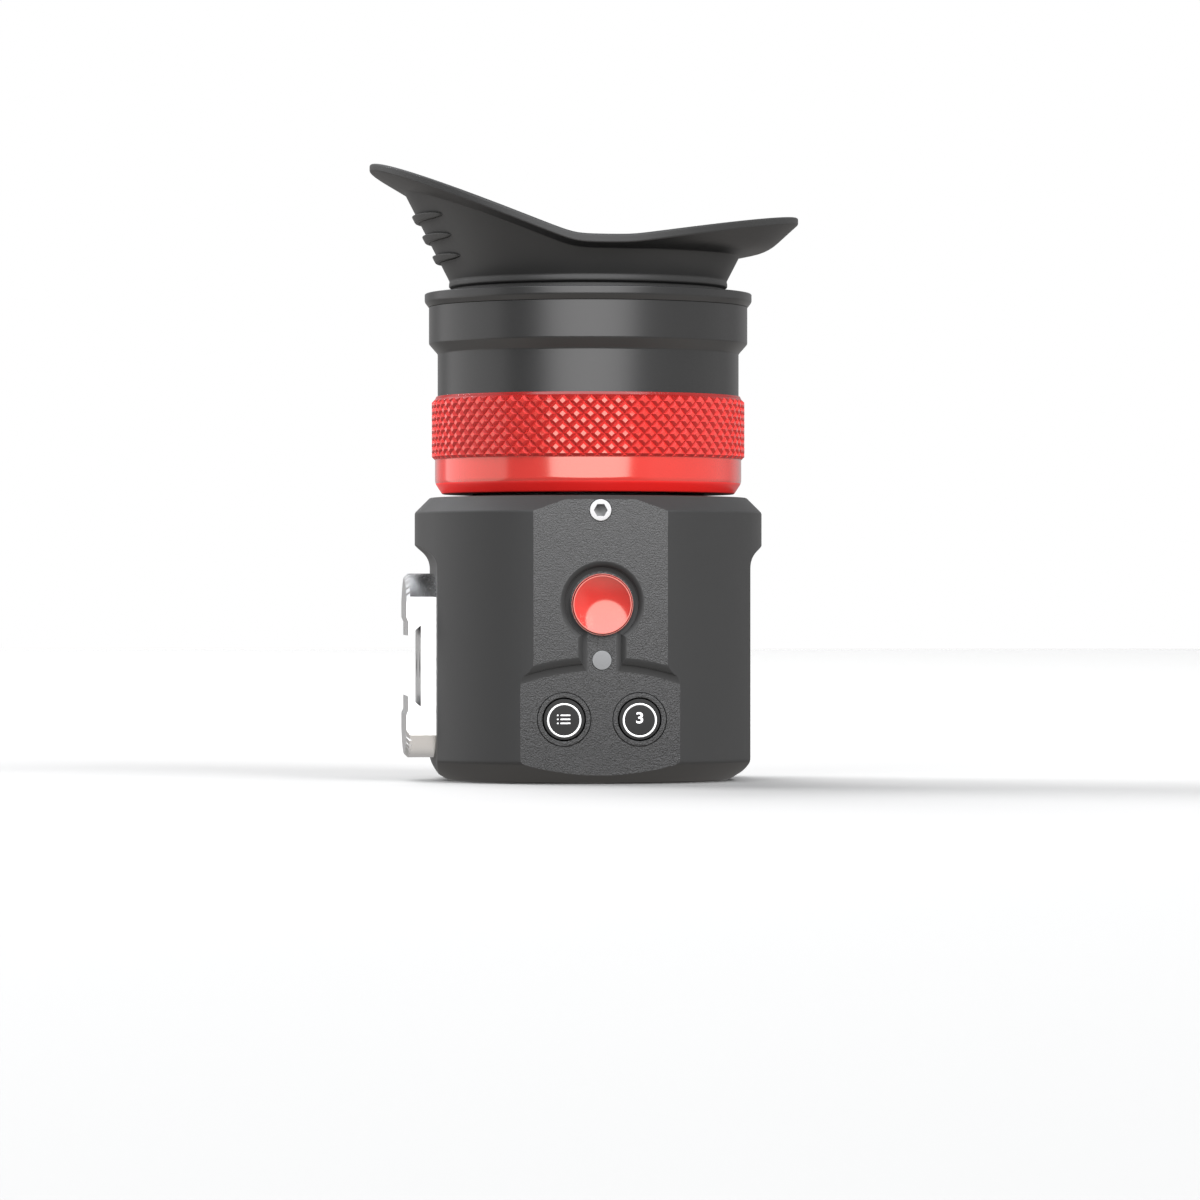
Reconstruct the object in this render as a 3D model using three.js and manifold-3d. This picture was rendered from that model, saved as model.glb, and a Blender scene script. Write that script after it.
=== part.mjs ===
// Electronic viewfinder standing on its base, eye end up.
// Millimetres. +Z runs up the optical axis to the eye, -Y is the control face and -X the
// bracket side. The origin is on the optical axis, in the plane of the base.
import * as THREE from "three";
import { mergeVertices } from "three/addons/utils/BufferGeometryUtils.js";
import Module from "manifold-3d";

const wasm = await Module();
wasm.setup();

// Facets round a turned piece, by its size
const largeSides = 40;
const middleSides = 24;
const smallSides = 12;
const hexSides = 6;
const lensSteps = 3;
const filletSteps = 3;

const half = (size) => size / 2;

// Clearances that every piece shares
const fitGap = 0.1; // round a piece that seats in another
const runGap = 0.3; // round a piece that moves past another
const overrun = 1; // how far a cutter runs past what it cuts
const bite = 0.4; // how deep a lump starts inside what carries it

// Housing: the two sizes that the rest follows
const bodyRadius = 36.5;
const bodyTop = 59.25;

// Housing: the outside
const topChamfer = 3.2;
const footHeight = 1.1;
const footInset = 5.1; // of the bevel's foot, from the body's radius
const footRadius = bodyRadius - footInset;
const bevelHeight = 4.3;
const sideFlatDepth = 3.9;
const sideFlat = bodyRadius - sideFlatDepth;
const sideFilletRadius = 3.4;
const earDepth = 14.25; // from the top down to the ear's fillet
const sideFilletStart = bodyTop - earDepth;
const earRound = 0.5;

// Control face: distances out from the optical axis
const padDepth = 2.7;
const upperPadFace = bodyRadius - padDepth;
const ledgeDepth = 1.2;
const lowerPadFace = upperPadFace - ledgeDepth;
const padHalfWidth = 13.8;
const padShoulderDrop = 3.25;
const padShoulderHeight = bodyTop - padShoulderDrop;
const padTopDrop = 0.9;
const padTopHeight = bodyTop - padTopDrop;
const padTopHalfWidth = 7.2;
const controlOffset = 0.35; // the controls sit this far to the right of the pad's middle

// Housing: the walls round the space inside
const roundWall = 3.5;
const cavityRadius = bodyRadius - roundWall;
const sideWall = 2.8;
const cavitySide = sideFlat - sideWall;
const frontWall = 2.6;
const cavityFront = lowerPadFace - frontWall;
const backWall = 5.5;
const cavityBack = bodyRadius - backWall;
const cavityFloor = 3.2;
const topWall = 6.95;
const cavityTop = bodyTop - topWall;

// Machine screws: head radius, head height, shank radius
const countersunkHeadRadius = 2.8;
const countersunkHeadHeight = 1.6;
const screwRadius = 1.5;
const socketHeadRadius = 2.25;
const socketHeadHeight = 2.4;
const socketShankRadius = 1.25;
const hexHalfFlats = 1.2;
const hexDepth = 1.3;
const lockScrewDrop = 3.15;
const lockScrewHeight = bodyTop - lockScrewDrop;
const boardScrewLength = 5.0;
const smallHeadRadius = 1.9;
const smallHeadHeight = 1.3;
const smallShankRadius = 0.9;

// Joystick: its pieces from the stem outward
const joystickDrop = 22.45; // below the housing's top
const joystickHeight = bodyTop - joystickDrop;
const joystickTravel = 0.3;
const dishRadius = 6.25;
const dishProud = 1.5; // out from the recess floor
const dishFace = lowerPadFace + dishProud;
const dishLip = 0.4;
const dishLipWidth = 0.45;
const dishDepth = 2.9;
const dishWall = 1.0;
const dishCover = 0.05; // of the rim over the hole below it
const dishUndercut = 1.3; // of the wall below the rim
const dishHoleRadius = dishRadius - dishCover;
const dishStemRadius = 1.4;
const swingGap = 0.7; // round a ring that tilts
const yokeWall = 2.0;
const yokeRadius = dishStemRadius + yokeWall;
const yokeThickness = 2.4;
const gimbalBore = yokeRadius + swingGap;
const gimbalWall = 1.5;
const gimbalRadius = gimbalBore + gimbalWall;
const gimbalThickness = 2.0;
const joystickBaseBore = gimbalRadius + swingGap;
const joystickBaseWall = 1.9;
const joystickBaseRadius = joystickBaseBore + joystickBaseWall;
const pivotPinRadius = 0.6;

// Thumb recess round the joystick, the channel below it and the curved ledge
const recessMargin = 0.75;
const recessFloorRadius = dishRadius + recessMargin;
const recessWallRun = 1.45;
const channelHalfWidth = 3.2;
const channelWallRun = 1.8;
const statusRadius = 2.0;
const statusGap = 1.2; // below the joystick's base
const statusHeight = joystickHeight - joystickBaseRadius - statusRadius - statusGap;
const ledgeRadius = 50.1;
const ledgeRun = 3.3;
const ledgeGap = 2.3; // from the status window's middle down to the ledge's foot
const ledgeCentre = statusHeight - ledgeGap - ledgeRadius;

// Buttons
const buttonHeight = 13.3;
const buttonSpacing = 15.5;
const buttonRadius = 4.1;
const buttonProud = 0.15;
const buttonFace = lowerPadFace + buttonProud;
const buttonTravel = 0.6;
const buttonRound = 0.4;
const buttonFlangeWidth = 0.9;
const buttonFlangeRadius = buttonRadius + buttonFlangeWidth;
const buttonFlangeThickness = 0.8;
const buttonStemRadius = 1.5;
const bezelWidth = 1.45;
const bezelRadius = buttonRadius + bezelWidth;
const bezelThickness = 1.2;

// Control board, its posts and its switches
const controlSpace = 8.0; // from the front wall in to the board
const controlBoardFace = cavityFront - controlSpace;
const boardThickness = 1.6;
const boardPostRadius = 2.2;
const boardPostInset = 3.4;
const boardPostGap = 1.3; // beside a button's flange
const controlBoardHalfWidth =
  controlOffset + half(buttonSpacing) + buttonFlangeRadius + boardPostGap + boardPostRadius + boardPostInset;
const controlBoardReach = 3.9; // below the buttons
const controlBoardBottom = buttonHeight - controlBoardReach;
const controlBoardDrop = 3.3; // below the top wall
const controlBoardTop = cavityTop - controlBoardDrop;
const switchSide = 6.0;
const switchBodyHeight = 2.2;
const plungerRadius = 1.6;
const plungerReach = 1.1;
const plungerClearance = 0.1;
const pivotReach = 4.4; // of the joystick's pivots, out from the board
const pivotFace = controlBoardFace + pivotReach;
const joystickBaseHeight = 6.2;
const joystickBaseFace = controlBoardFace + joystickBaseHeight;

// Base cover and its screws
const coverInset = 0.9;
const coverRadius = footRadius - coverInset;
const coverStep = 1.6;
const coverPlugRadius = coverRadius - coverStep;
const coverPlugHeight = 3.0;
const coverEdge = 0.4;
const baseScrewInset = 4.3;
const baseScrewRadius = coverPlugRadius - baseScrewInset; // from the optical axis
const baseBossRadius = 3.2;
const baseBossTop = controlBoardBottom - bite;
const baseScrewLength = baseBossTop - screwRadius - bite;

// Guide sleeve and what holds the diopter ring on it
const sleeveInset = 13.2;
const sleeveRadius = bodyRadius - sleeveInset;
const sleeveWall = 2.0;
const sleeveBore = sleeveRadius - sleeveWall;
const sleeveCollarStep = 0.6;
const sleeveCollarRadius = sleeveRadius + sleeveCollarStep;
const neckBoreRadius = sleeveCollarRadius + fitGap;
const sleeveFlangeWidth = 4.2;
const sleeveFlangeRadius = sleeveRadius + sleeveFlangeWidth;
const sleeveFlangeHeight = 2.0;
const washerWidth = 1.0;
const washerRadius = sleeveRadius + washerWidth;
const washerHeight = 0.65;
const retainerWidth = 2.9;
const retainerRadius = sleeveRadius + retainerWidth;
const retainerHeight = 1.3;

// How far the diopter ring turns and the barrel slides, each way
const turnLimit = (80 * Math.PI) / 180;
const slideLimit = 2.0;

// Eyepiece barrel: its radii from the sleeve outward
const skirtGap = 0.4;
const skirtBore = sleeveRadius + skirtGap;
const skirtWall = 4.9;
const skirtRadius = skirtBore + skirtWall;
const shoulderStep = 3.07;
const barrelRadius = skirtRadius + shoulderStep;
const upperStep = 1.83;
const barrelUpperRadius = barrelRadius + upperStep;
const lensWall = 4.67;
const lensBore = barrelRadius - lensWall;
const lensSeatWidth = 5.0;
const lensSeatBore = lensBore - lensSeatWidth;
const lensSeatThickness = 1.5;
const spigotStep = 2.9;
const spigotRadius = barrelUpperRadius - spigotStep;
const spigotHeight = 2.0;

// Diopter ring
const ringGap = 0.7; // over the housing
const ringBottom = bodyTop + ringGap;
const ringStandOut = 1.23; // of the knurl, over the barrel
const ringKnurlRadius = barrelRadius + ringStandOut;
const ringStep = 0.67; // of the smooth band, below the knurl
const ringBandRadius = ringKnurlRadius - ringStep;
const ringUnderCut = 1.53;
const ringBottomRadius = ringBandRadius - ringUnderCut;
const ringChamferHeight = 2.25;
const ringBandStart = ringBottom + ringChamferHeight;
const ringBandHeight = 4.9;
const ringKnurlStart = ringBandStart + ringBandHeight;
const ringHeight = 20.55;
const ringTop = ringBottom + ringHeight;
const ringTopRound = 0.8;
const ringFlangeHeight = 1.8;
const ringBoreGap = 0.6;
const ringBore = skirtRadius + ringBoreGap;
const counterboreDepth = 4.9;
const counterboreFloor = ringTop - counterboreDepth;

// Eyepiece barrel: its heights
const slideRoom = 0.4; // left at the end of the slide
const shoulderBottom = counterboreFloor + slideLimit + slideRoom;
const skirtClearance = 0.75; // over the ring's retainer, at the end of the slide
const skirtBottom =
  ringBottom + ringFlangeHeight + runGap + retainerHeight + slideLimit + skirtClearance + slideRoom;
const neckRise = 8.9; // of the narrow part, over the ring
const barrelBevelStart = ringTop + neckRise;
const barrelBevel = 2.1;
const barrelUpperStart = barrelBevelStart + barrelBevel;
const barrelUpperHeight = 7.7;
const barrelTop = barrelUpperStart + barrelUpperHeight;
const lensSeatRise = 6.0;
const lensSeat = shoulderBottom + lensSeatRise;

// Drive pins, their helical grooves and the guide keys
const pinRadius = 1.1;
const pinShare = 0.6; // of the way up the skirt to the shoulder's counterbore
const pinHeight = skirtBottom + (counterboreFloor - skirtBottom) * pinShare;
const pinSeatDepth = 1.4;
const grooveDepth = 1.7;
const keyWidth = 3.0;
const keyLength = 6.0;
const keyReach = 1.3; // out of the sleeve
const keyMiddle = pinHeight + overrun;
const sleeveMargin = 2.0;
const sleeveTop = keyMiddle + half(keyLength) + sleeveMargin;

// Lenses
const fieldLensEdge = 3.4;
const fieldLensBulge = 1.4;
const eyeLensEdge = 4.0;
const eyeLensBulge = 1.5;
const lensSpacerHeight = 3.5;
const lensSpacerWall = 2.5;
const lensRetainerHeight = 2.5;
const lensRetainerWall = 3.0;

// Clip that keeps the eyecup ring on the barrel's spigot
const clipReach = 0.8;
const clipRadius = spigotRadius + clipReach;
const clipThickness = 0.6;
const clipRise = 1.15;
const clipMiddle = barrelTop + clipRise;
const clipSeat = 1.0;

// Eyecup ring
const rimStep = 0.9;
const rimRadius = barrelUpperRadius + rimStep;
const rimGap = 0.2; // over the barrel
const rimUnderChamfer = 1.0;
const rimHeight = 3.5; // over the barrel's shoulder
const rimTop = barrelTop + rimHeight;
const rimTopRound = 0.8;
const rimSideTop = rimTop - rimTopRound;
const rimRecessWall = 1.7;
const rimRecessRadius = rimRadius - rimRecessWall;
const rimRecessDepth = 1.2;
const rimRecessFloor = rimTop - rimRecessDepth;

// Eyecup: neck and cone
const cupNeckInset = 1.3;
const cupNeckRadius = spigotRadius - cupNeckInset;
const cupNeckHeight = 2.0;
const cupNeckTop = rimTop + cupNeckHeight;
const cupWall = 1.9;
const cupConeSlope = 0.51; // radius gained for each unit of height
const cupConeHeight = 5.9;
const cupCreaseHeight = cupNeckTop + cupConeHeight; // where the wall meets the lip
const cupCreaseSlope = 0.41;
const cupCreaseStart = 5.5; // the crease climbs from here to the -X end

// Eyecup: the lip, whose outline in plan is an oval
const lipCentre = -0.85;
const lipReachAlong = 15.85; // out from the neck, along X
const lipHalfLength = cupNeckRadius + lipReachAlong;
const lipReachAcross = 5.9;
const lipHalfWidth = cupNeckRadius + lipReachAcross;
const lipSaddleRise = 1.9;
const lipSaddleHeight = cupCreaseHeight + lipSaddleRise;
const lipLeftSlope = 0.425;
const lipLeftStart = 5.3;
const lipRightSlope = 0.165;
const lipRightStart = 6.7;
const lipBlend = 2.5;
const lipThickness = 1.4;
const lipEdgeRound = 1.0;
const lipSag = 2.4; // how far the lip's middle hangs at the +X end

// Eyecup: grip ridges on the raised side
const gripCount = 3;
const gripHeight = 1.5;
const gripPitch = 4.2;
const gripRise = 4.5;
const gripFirst = cupNeckTop + gripRise;
const gripReach = 1.1;
const gripSweep = (56 * Math.PI) / 180;
const gripSteps = 10;

// Dovetail bracket, centred on the side flat
const bracketMargin = 1.7; // below the ear's fillet
const bracketFoot = 4.7; // above the base
const bracketRadius = half(sideFilletStart - bracketMargin - bracketFoot);
const bracketHeight = bracketFoot + bracketRadius;
const bracketWidthShare = 0.668;
const bracketHalfWidth = bracketRadius * bracketWidthShare;
const bracketThickness = 5.9;
const bracketFace = sideFlat + bracketThickness;
const slotOpening = 6.4; // half its height at the face
const slotInside = 8.55; // half its height at the floor
const slotDepth = 2.7;
const bracketScrewSpacing = 14.0;
const bracketChamfer = 1.35;
const reedCount = 17; // in each of the two arcs
const reedPitch = (4.8 * Math.PI) / 180;
const reedWidth = 0.64;

// Display carrier, display and driver board
const carrierDrop = 24.25; // below the housing's top
const carrierBottom = bodyTop - carrierDrop;
const carrierThickness = 3.0;
const controlGap = 2.9; // behind the control board
const carrierFront = controlBoardFace - boardThickness - controlGap;
const carrierBackGap = 5.0;
const carrierBack = cavityBack - carrierBackGap;
const carrierSideGap = 2.2;
const carrierHalfLength = cavitySide - carrierSideGap;
const carrierRailDepth = 4.0;
const carrierRailHeight = 5.0;
const railInset = 3.5;
const carrierRailFront = carrierFront - railInset;
const carrierRailBack = cavityBack - 2 * backWall;
const carrierScrewY = half(carrierRailBack - half(carrierRailFront));
const carrierScrewInset = 2.2; // in from the cavity's side
const carrierPostRadius = 2.0;
const panelMargin = 6.5;
const panelDepth = 2 * (carrierFront - panelMargin);
const panelWidth = 2 * (carrierHalfLength - 2 * panelMargin);
const panelThickness = 2.2;
const panelRecess = 1.2;
const windowMargin = 2.0;
const windowWidth = panelWidth - 2 * windowMargin;
const windowDepth = panelDepth - 2 * windowMargin;
const windowThickness = 0.8;
const carrierPostLength = 5.4;
const driverBoardTop = carrierBottom - carrierPostLength;
const driverBoardSideGap = 8.8;
const driverBoardWidth = 2 * (cavitySide - driverBoardSideGap);
const driverBoardGap = 4.4; // behind the control board
const driverBoardDepth = 2 * (controlBoardFace - boardThickness - driverBoardGap);
const carrierPostInset = 4.0;
const carrierPostSpacingX = driverBoardWidth - 2 * carrierPostInset;
const carrierPostSpacingY = driverBoardDepth - 2 * carrierPostInset;
const carrierSlotWidth = 14.0;
const carrierSlotDepth = 2.4;

// Ribbon flexes
const flexThickness = 0.3;
const flexWidth = 10.0;
const flexStandoff = 1.0;

// Signal socket, on the back
const socketHeight = 16.0;
const socketShellRadius = 5.2;
const socketWall = 1.2;
const socketBore = socketShellRadius - socketWall;
const socketReach = 5.0; // into the housing
const socketInnerEnd = cavityBack - socketReach;
const socketOuterEnd = bodyRadius - runGap + fitGap;
const socketFlangeWidth = 1.8;
const socketFlangeRadius = socketShellRadius + socketFlangeWidth;
const socketFlangeThickness = 2.0;
const spotFaceDepth = 2.1;
const spotFace = bodyRadius - spotFaceDepth;
const spotFaceWidth = 3.4;
const spotFaceRadius = socketShellRadius + spotFaceWidth;
const nutWall = 1.7;
const nutHalfFlats = socketShellRadius + nutWall;
const nutThickness = 1.7;
const insertInset = 1.6;
const insertFace = cavityBack - insertInset;
const insertThickness = 2.6;
const contactCount = 6;
const contactRadius = 0.5;
const contactCircle = 2.4;
const contactReach = 1.6;

// Finishes
const finish = (color, roughness, metalness) => new THREE.MeshStandardMaterial({ color, roughness, metalness });
const blackAnodised = () => finish(0x3a3a3c, 0.5, 0.6);
const greyPad = () => finish(0x5a5a5c, 0.6, 0.4);
const redAnodised = () => finish(0xd22a24, 0.3, 0.5);
const silver = () => finish(0xd8d8da, 0.3, 0.9);
const steel = () => finish(0xb8babd, 0.3, 0.9);
const rubber = () => finish(0x2c2c2e, 0.8, 0.0);
const darkPlastic = () => finish(0x262628, 0.6, 0.0);
const boardGreen = () => finish(0x1f5a3a, 0.6, 0.0);
const amberFilm = () => finish(0xb4702a, 0.5, 0.0);
const clearGlass = () => finish(0xcfe0e8, 0.05, 0.0);
const greyWindow = () => finish(0xa5a6a8, 0.35, 0.0);
const gold = () => finish(0xc8a24a, 0.3, 0.9);

// Places that follow from the sizes above
const ringFlangeTop = ringBottom + ringFlangeHeight;
const ringFlangeBore = sleeveRadius + runGap;
const counterboreRadius = barrelRadius + runGap;
const coneRadiusAt = (height) => cupNeckRadius + cupConeSlope * (height - cupNeckTop);
const spacerBottom = lensSeat + fieldLensEdge + fitGap;
const eyeLensBottom = spacerBottom + lensSpacerHeight + fitGap;
const lensRetainerBottom = eyeLensBottom + eyeLensEdge + fitGap;
const slotFloor = bracketFace - slotDepth;
const carrierTop = carrierBottom + carrierThickness;
const panelBottom = carrierTop - panelRecess;
const panelTop = panelBottom + panelThickness;
const buttonPlaces = [controlOffset - half(buttonSpacing), controlOffset + half(buttonSpacing)];
const boardPostX = controlBoardHalfWidth - boardPostInset;
const boardPostLow = controlBoardBottom + boardPostInset;
const boardPostHigh = controlBoardTop - boardPostInset;
const controlBoardBack = controlBoardFace - boardThickness;
const driverBoardBottom = driverBoardTop - boardThickness;
const switchTop = controlBoardFace + switchBodyHeight;
const buttonFlangeFace = cavityFront - fitGap;
const buttonFlangeBack = buttonFlangeFace - buttonFlangeThickness;
const joystickStemEnd = switchTop + joystickTravel + runGap;

// A closed geometry as a solid that can be joined and cut
function solidOf(geometry) {
  const bare = geometry.index ? geometry.toNonIndexed() : geometry.clone();
  bare.deleteAttribute("normal");
  bare.deleteAttribute("uv");
  const merged = mergeVertices(bare);
  return new wasm.Manifold(
    new wasm.Mesh({
      numProp: 3,
      vertProperties: new Float32Array(merged.attributes.position.array),
      triVerts: new Uint32Array(merged.index.array),
    }),
  );
}

// A solid back as a geometry
function geometryOf(solid) {
  const mesh = solid.getMesh();
  const geometry = new THREE.BufferGeometry();
  const places = new Float32Array(mesh.numVert * 3);
  for (let i = 0; i < mesh.numVert; i++) {
    const start = i * mesh.numProp;
    places.set(mesh.vertProperties.subarray(start, start + 3), i * 3);
  }
  geometry.setAttribute("position", new THREE.BufferAttribute(places, 3));
  geometry.setIndex(new THREE.BufferAttribute(new Uint32Array(mesh.triVerts), 1));
  const flat = geometry.toNonIndexed();
  flat.computeVertexNormals();
  return flat;
}

const cut = (body, ...cutters) => cutters.reduce((left, cutter) => left.subtract(cutter), body);
const join = (body, ...lumps) => lumps.reduce((whole, lump) => whole.add(lump), body);

// A turned piece about +Z: its outline as [radius, height], going up its outer wall
function turned(outline, sides) {
  const points = outline.map(([radius, height]) => new THREE.Vector2(radius, height));
  const [first, last] = [points[0], points[points.length - 1]];
  if (first.x > 0 || last.x > 0) points.push(first.clone());
  return new THREE.LatheGeometry(points, sides).rotateX(Math.PI / 2);
}

const rod = (radius, low, high, sides) =>
  turned(
    [
      [0, low],
      [radius, low],
      [radius, high],
      [0, high],
    ],
    sides,
  );

const tube = (radius, bore, low, high, sides) =>
  turned(
    [
      [bore, low],
      [radius, low],
      [radius, high],
      [bore, high],
    ],
    sides,
  );

const cone = (lowRadius, highRadius, low, high, sides) =>
  turned(
    [
      [0, low],
      [lowRadius, low],
      [highRadius, high],
      [0, high],
    ],
    sides,
  );

// A block between two corners
const block = (lowX, highX, lowY, highY, lowZ, highZ) =>
  new THREE.BoxGeometry(highX - lowX, highY - lowY, highZ - lowZ).translate(
    half(lowX + highX),
    half(lowY + highY),
    half(lowZ + highZ),
  );

// A flat outline raised from one height to another along +Z
function raised(outline, low, high) {
  const shape = new THREE.Shape(outline.map(([x, y]) => new THREE.Vector2(x, y)));
  return new THREE.ExtrudeGeometry(shape, { depth: high - low, bevelEnabled: false }).translate(0, 0, low);
}

// A hexagon across its flats, with its points to the left and right
function hexagon(halfFlats) {
  const radius = halfFlats / Math.cos(Math.PI / hexSides);
  return Array.from({ length: hexSides }, (_, i) => {
    const angle = (i * 2 * Math.PI) / hexSides;
    return [radius * Math.cos(angle), radius * Math.sin(angle)];
  });
}

// Turn what is made along +Z, with its up along +Y, to look out of one side of the housing
const toFront = (geometry) => geometry.rotateX(Math.PI / 2);
const toLeft = (geometry) => geometry.rotateX(Math.PI / 2).rotateZ(-Math.PI / 2);
const toBack = (geometry) => geometry.rotateX(Math.PI / 2).rotateZ(Math.PI);

const part = new THREE.Group();
const frontGroup = new THREE.Group();
frontGroup.rotation.x = Math.PI / 2;
const leftGroup = new THREE.Group();
leftGroup.rotation.set(Math.PI / 2, 0, -Math.PI / 2, "ZYX");
const backGroup = new THREE.Group();
backGroup.rotation.set(Math.PI / 2, 0, Math.PI, "ZYX");
part.add(frontGroup, leftGroup, backGroup);

function place(name, shape, material, group = part, x = 0, y = 0, z = 0) {
  const geometry = shape.isBufferGeometry ? shape : geometryOf(shape);
  const mesh = new THREE.Mesh(geometry, material);
  mesh.name = name;
  mesh.position.set(x, y, z);
  group.add(mesh);
  return mesh;
}

// Housing: the outside
function housingShell() {
  const outside = turned(
    [
      [0, footHeight],
      [footRadius, footHeight],
      [bodyRadius - earRound, bevelHeight - earRound],
      [bodyRadius, bevelHeight],
      [bodyRadius, bodyTop - topChamfer],
      [bodyRadius - topChamfer, bodyTop],
      [0, bodyTop],
    ],
    largeSides,
  );
  const wide = bodyRadius + overrun;
  const upper = block(-wide, wide, -wide, -upperPadFace, -overrun, bodyTop + overrun);
  return cut(solidOf(outside), solidOf(upper)).add(solidOf(padTop()));
}

// The control pad stands a little proud of the top chamfer, with sloping shoulders
function padTop() {
  const outline = [
    [-padHalfWidth, bodyTop - topChamfer - overrun],
    [padHalfWidth, bodyTop - topChamfer - overrun],
    [padHalfWidth, padShoulderHeight],
    [padTopHalfWidth, padTopHeight],
    [-padTopHalfWidth, padTopHeight],
    [-padHalfWidth, padShoulderHeight],
  ];
  return toFront(raised(outline, cavityFront, upperPadFace));
}

// What each side flat takes away, with its fillet up to the ear
function sideCutter(side) {
  const inner = sideFlat;
  const outer = bodyRadius + overrun;
  const outline = [
    [inner, -overrun],
    [outer, -overrun],
    [outer, sideFilletStart + sideFilletRadius + earRound],
    [bodyRadius, sideFilletStart + sideFilletRadius + earRound],
    [inner + sideFilletRadius, sideFilletStart + sideFilletRadius],
  ];
  for (let i = 1; i <= filletSteps; i++) {
    const angle = (i / filletSteps) * half(Math.PI);
    outline.push([
      inner + sideFilletRadius * (1 - Math.sin(angle)),
      sideFilletStart + sideFilletRadius * Math.cos(angle),
    ]);
  }
  const cutter = toFront(raised(outline, -bodyRadius, bodyRadius));
  return solidOf(side > 0 ? cutter : cutter.rotateZ(Math.PI));
}

// The lower pad lies deeper than the upper one, below a curved ledge
function ledgeCutter() {
  const past = bodyRadius + overrun - lowerPadFace;
  const run = (ledgeRun * past) / (upperPadFace - lowerPadFace);
  const cutter = cone(ledgeRadius, ledgeRadius + run, lowerPadFace, lowerPadFace + past, largeSides + smallSides);
  return solidOf(toFront(cutter.translate(0, ledgeCentre, 0)));
}

// The thumb recess round the joystick and the channel that runs down from it
function recessCutter() {
  const depth = upperPadFace - lowerPadFace;
  const past = depth + overrun;
  const wallRun = (recessWallRun * past) / depth;
  const recess = cone(
    recessFloorRadius,
    recessFloorRadius + wallRun,
    lowerPadFace,
    lowerPadFace + past,
    middleSides,
  ).translate(0, joystickHeight, 0);
  const outerHalf = channelHalfWidth + (channelWallRun * past) / depth;
  const section = [
    [-channelHalfWidth, -lowerPadFace],
    [-outerHalf, -lowerPadFace - past],
    [outerHalf, -lowerPadFace - past],
    [channelHalfWidth, -lowerPadFace],
  ];
  const bottom = statusHeight - 2 * statusRadius;
  const channel = raised(section, bottom, joystickHeight);
  return join(solidOf(toFront(recess)), solidOf(channel));
}

// Housing: the space inside, and what stands in it
function cavityCutter() {
  const space = solidOf(rod(cavityRadius, cavityFloor, cavityTop, largeSides));
  const limits = solidOf(
    block(-cavitySide, cavitySide, -cavityFront, cavityBack, cavityFloor - overrun, cavityTop + overrun),
  );
  const mouth = solidOf(rod(coverPlugRadius + fitGap, -overrun, cavityFloor + overrun, largeSides));
  const neck = solidOf(rod(neckBoreRadius, cavityTop - overrun, bodyTop + overrun, largeSides));
  return join(space.intersect(limits), mouth, neck);
}

const baseScrewAngles = [1, 3, 5, 7].map((eighth) => (eighth * Math.PI) / 4);

// A boss for each base screw, joined to the wall by a rib
function baseBosses() {
  const low = coverPlugHeight + fitGap;
  return baseScrewAngles.map((angle) => {
    const boss = solidOf(rod(baseBossRadius, low, baseBossTop, smallSides).translate(baseScrewRadius, 0, 0));
    const rib = block(baseScrewRadius, cavityRadius + bite, -baseBossRadius, baseBossRadius, low, baseBossTop);
    const hole = rod(screwRadius + fitGap, low - overrun, baseBossTop - screwRadius, smallSides);
    const whole = cut(boss.add(solidOf(rib)), solidOf(hole.translate(baseScrewRadius, 0, 0)));
    return solidOf(geometryOf(whole).rotateZ(angle));
  });
}

// Four posts behind the control face carry the control board
function boardPosts() {
  const places = [];
  for (const x of [-boardPostX, boardPostX]) {
    for (const height of [boardPostLow, boardPostHigh]) places.push([x, height]);
  }
  return places.map(([x, height]) => {
    const post = rod(boardPostRadius, controlBoardFace, cavityFront + bite, smallSides);
    const hole = rod(smallShankRadius + fitGap, controlBoardFace - overrun, cavityFront - bite, smallSides);
    const solid = cut(solidOf(post), solidOf(hole));
    return solidOf(toFront(geometryOf(solid).translate(x, height, 0)));
  });
}

// Two rails on the side walls carry the display carrier
function carrierRails() {
  return [-1, 1].map((side) => {
    const inner = cavitySide - carrierRailDepth;
    const outer = cavitySide + bite;
    const low = carrierBottom - carrierRailHeight;
    const rail = block(inner, outer, -carrierRailFront, carrierRailBack, low, carrierBottom);
    const hole = rod(smallShankRadius + fitGap, low + bite, carrierBottom + overrun, smallSides);
    const holeX = cavitySide - carrierScrewInset;
    const solid = cut(solidOf(rail), solidOf(hole.translate(holeX, carrierScrewY, 0)));
    return side > 0 ? solid : solidOf(mirroredX(geometryOf(solid)));
  });
}

// A geometry mirrored left to right, with its faces still pointing out
function mirroredX(geometry) {
  const places = geometry.getAttribute("position");
  const turnedRound = new Float32Array(places.count * 3);
  for (let i = 0; i < places.count; i++) {
    const from = i - (i % 3) + (2 - (i % 3));
    turnedRound.set([-places.getX(from), places.getY(from), places.getZ(from)], i * 3);
  }
  return new THREE.BufferGeometry().setAttribute("position", new THREE.BufferAttribute(turnedRound, 3));
}

// Holes through the control face
function frontHoles() {
  const through = (radius, x, height, low, high) =>
    solidOf(toFront(rod(radius, low, high, middleSides).translate(x, height, 0)));
  const inside = cavityFront - overrun;
  const outside = bodyRadius + overrun;
  const holes = [
    through(dishHoleRadius, controlOffset, joystickHeight, inside, outside),
    through(statusRadius + fitGap, controlOffset, statusHeight, inside, outside),
    through(socketHeadRadius + fitGap, 0, lockScrewHeight, lockHeadSeat(), outside),
    through(socketShankRadius + fitGap, 0, lockScrewHeight, neckBoreRadius - overrun, outside),
  ];
  for (const x of buttonPlaces) {
    holes.push(through(buttonRadius + runGap, x, buttonHeight, inside, outside));
    holes.push(through(bezelRadius + fitGap, x, buttonHeight, lowerPadFace - bezelThickness, outside));
  }
  return holes;
}

const lockHeadSeat = () => upperPadFace - socketHeadHeight;

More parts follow.
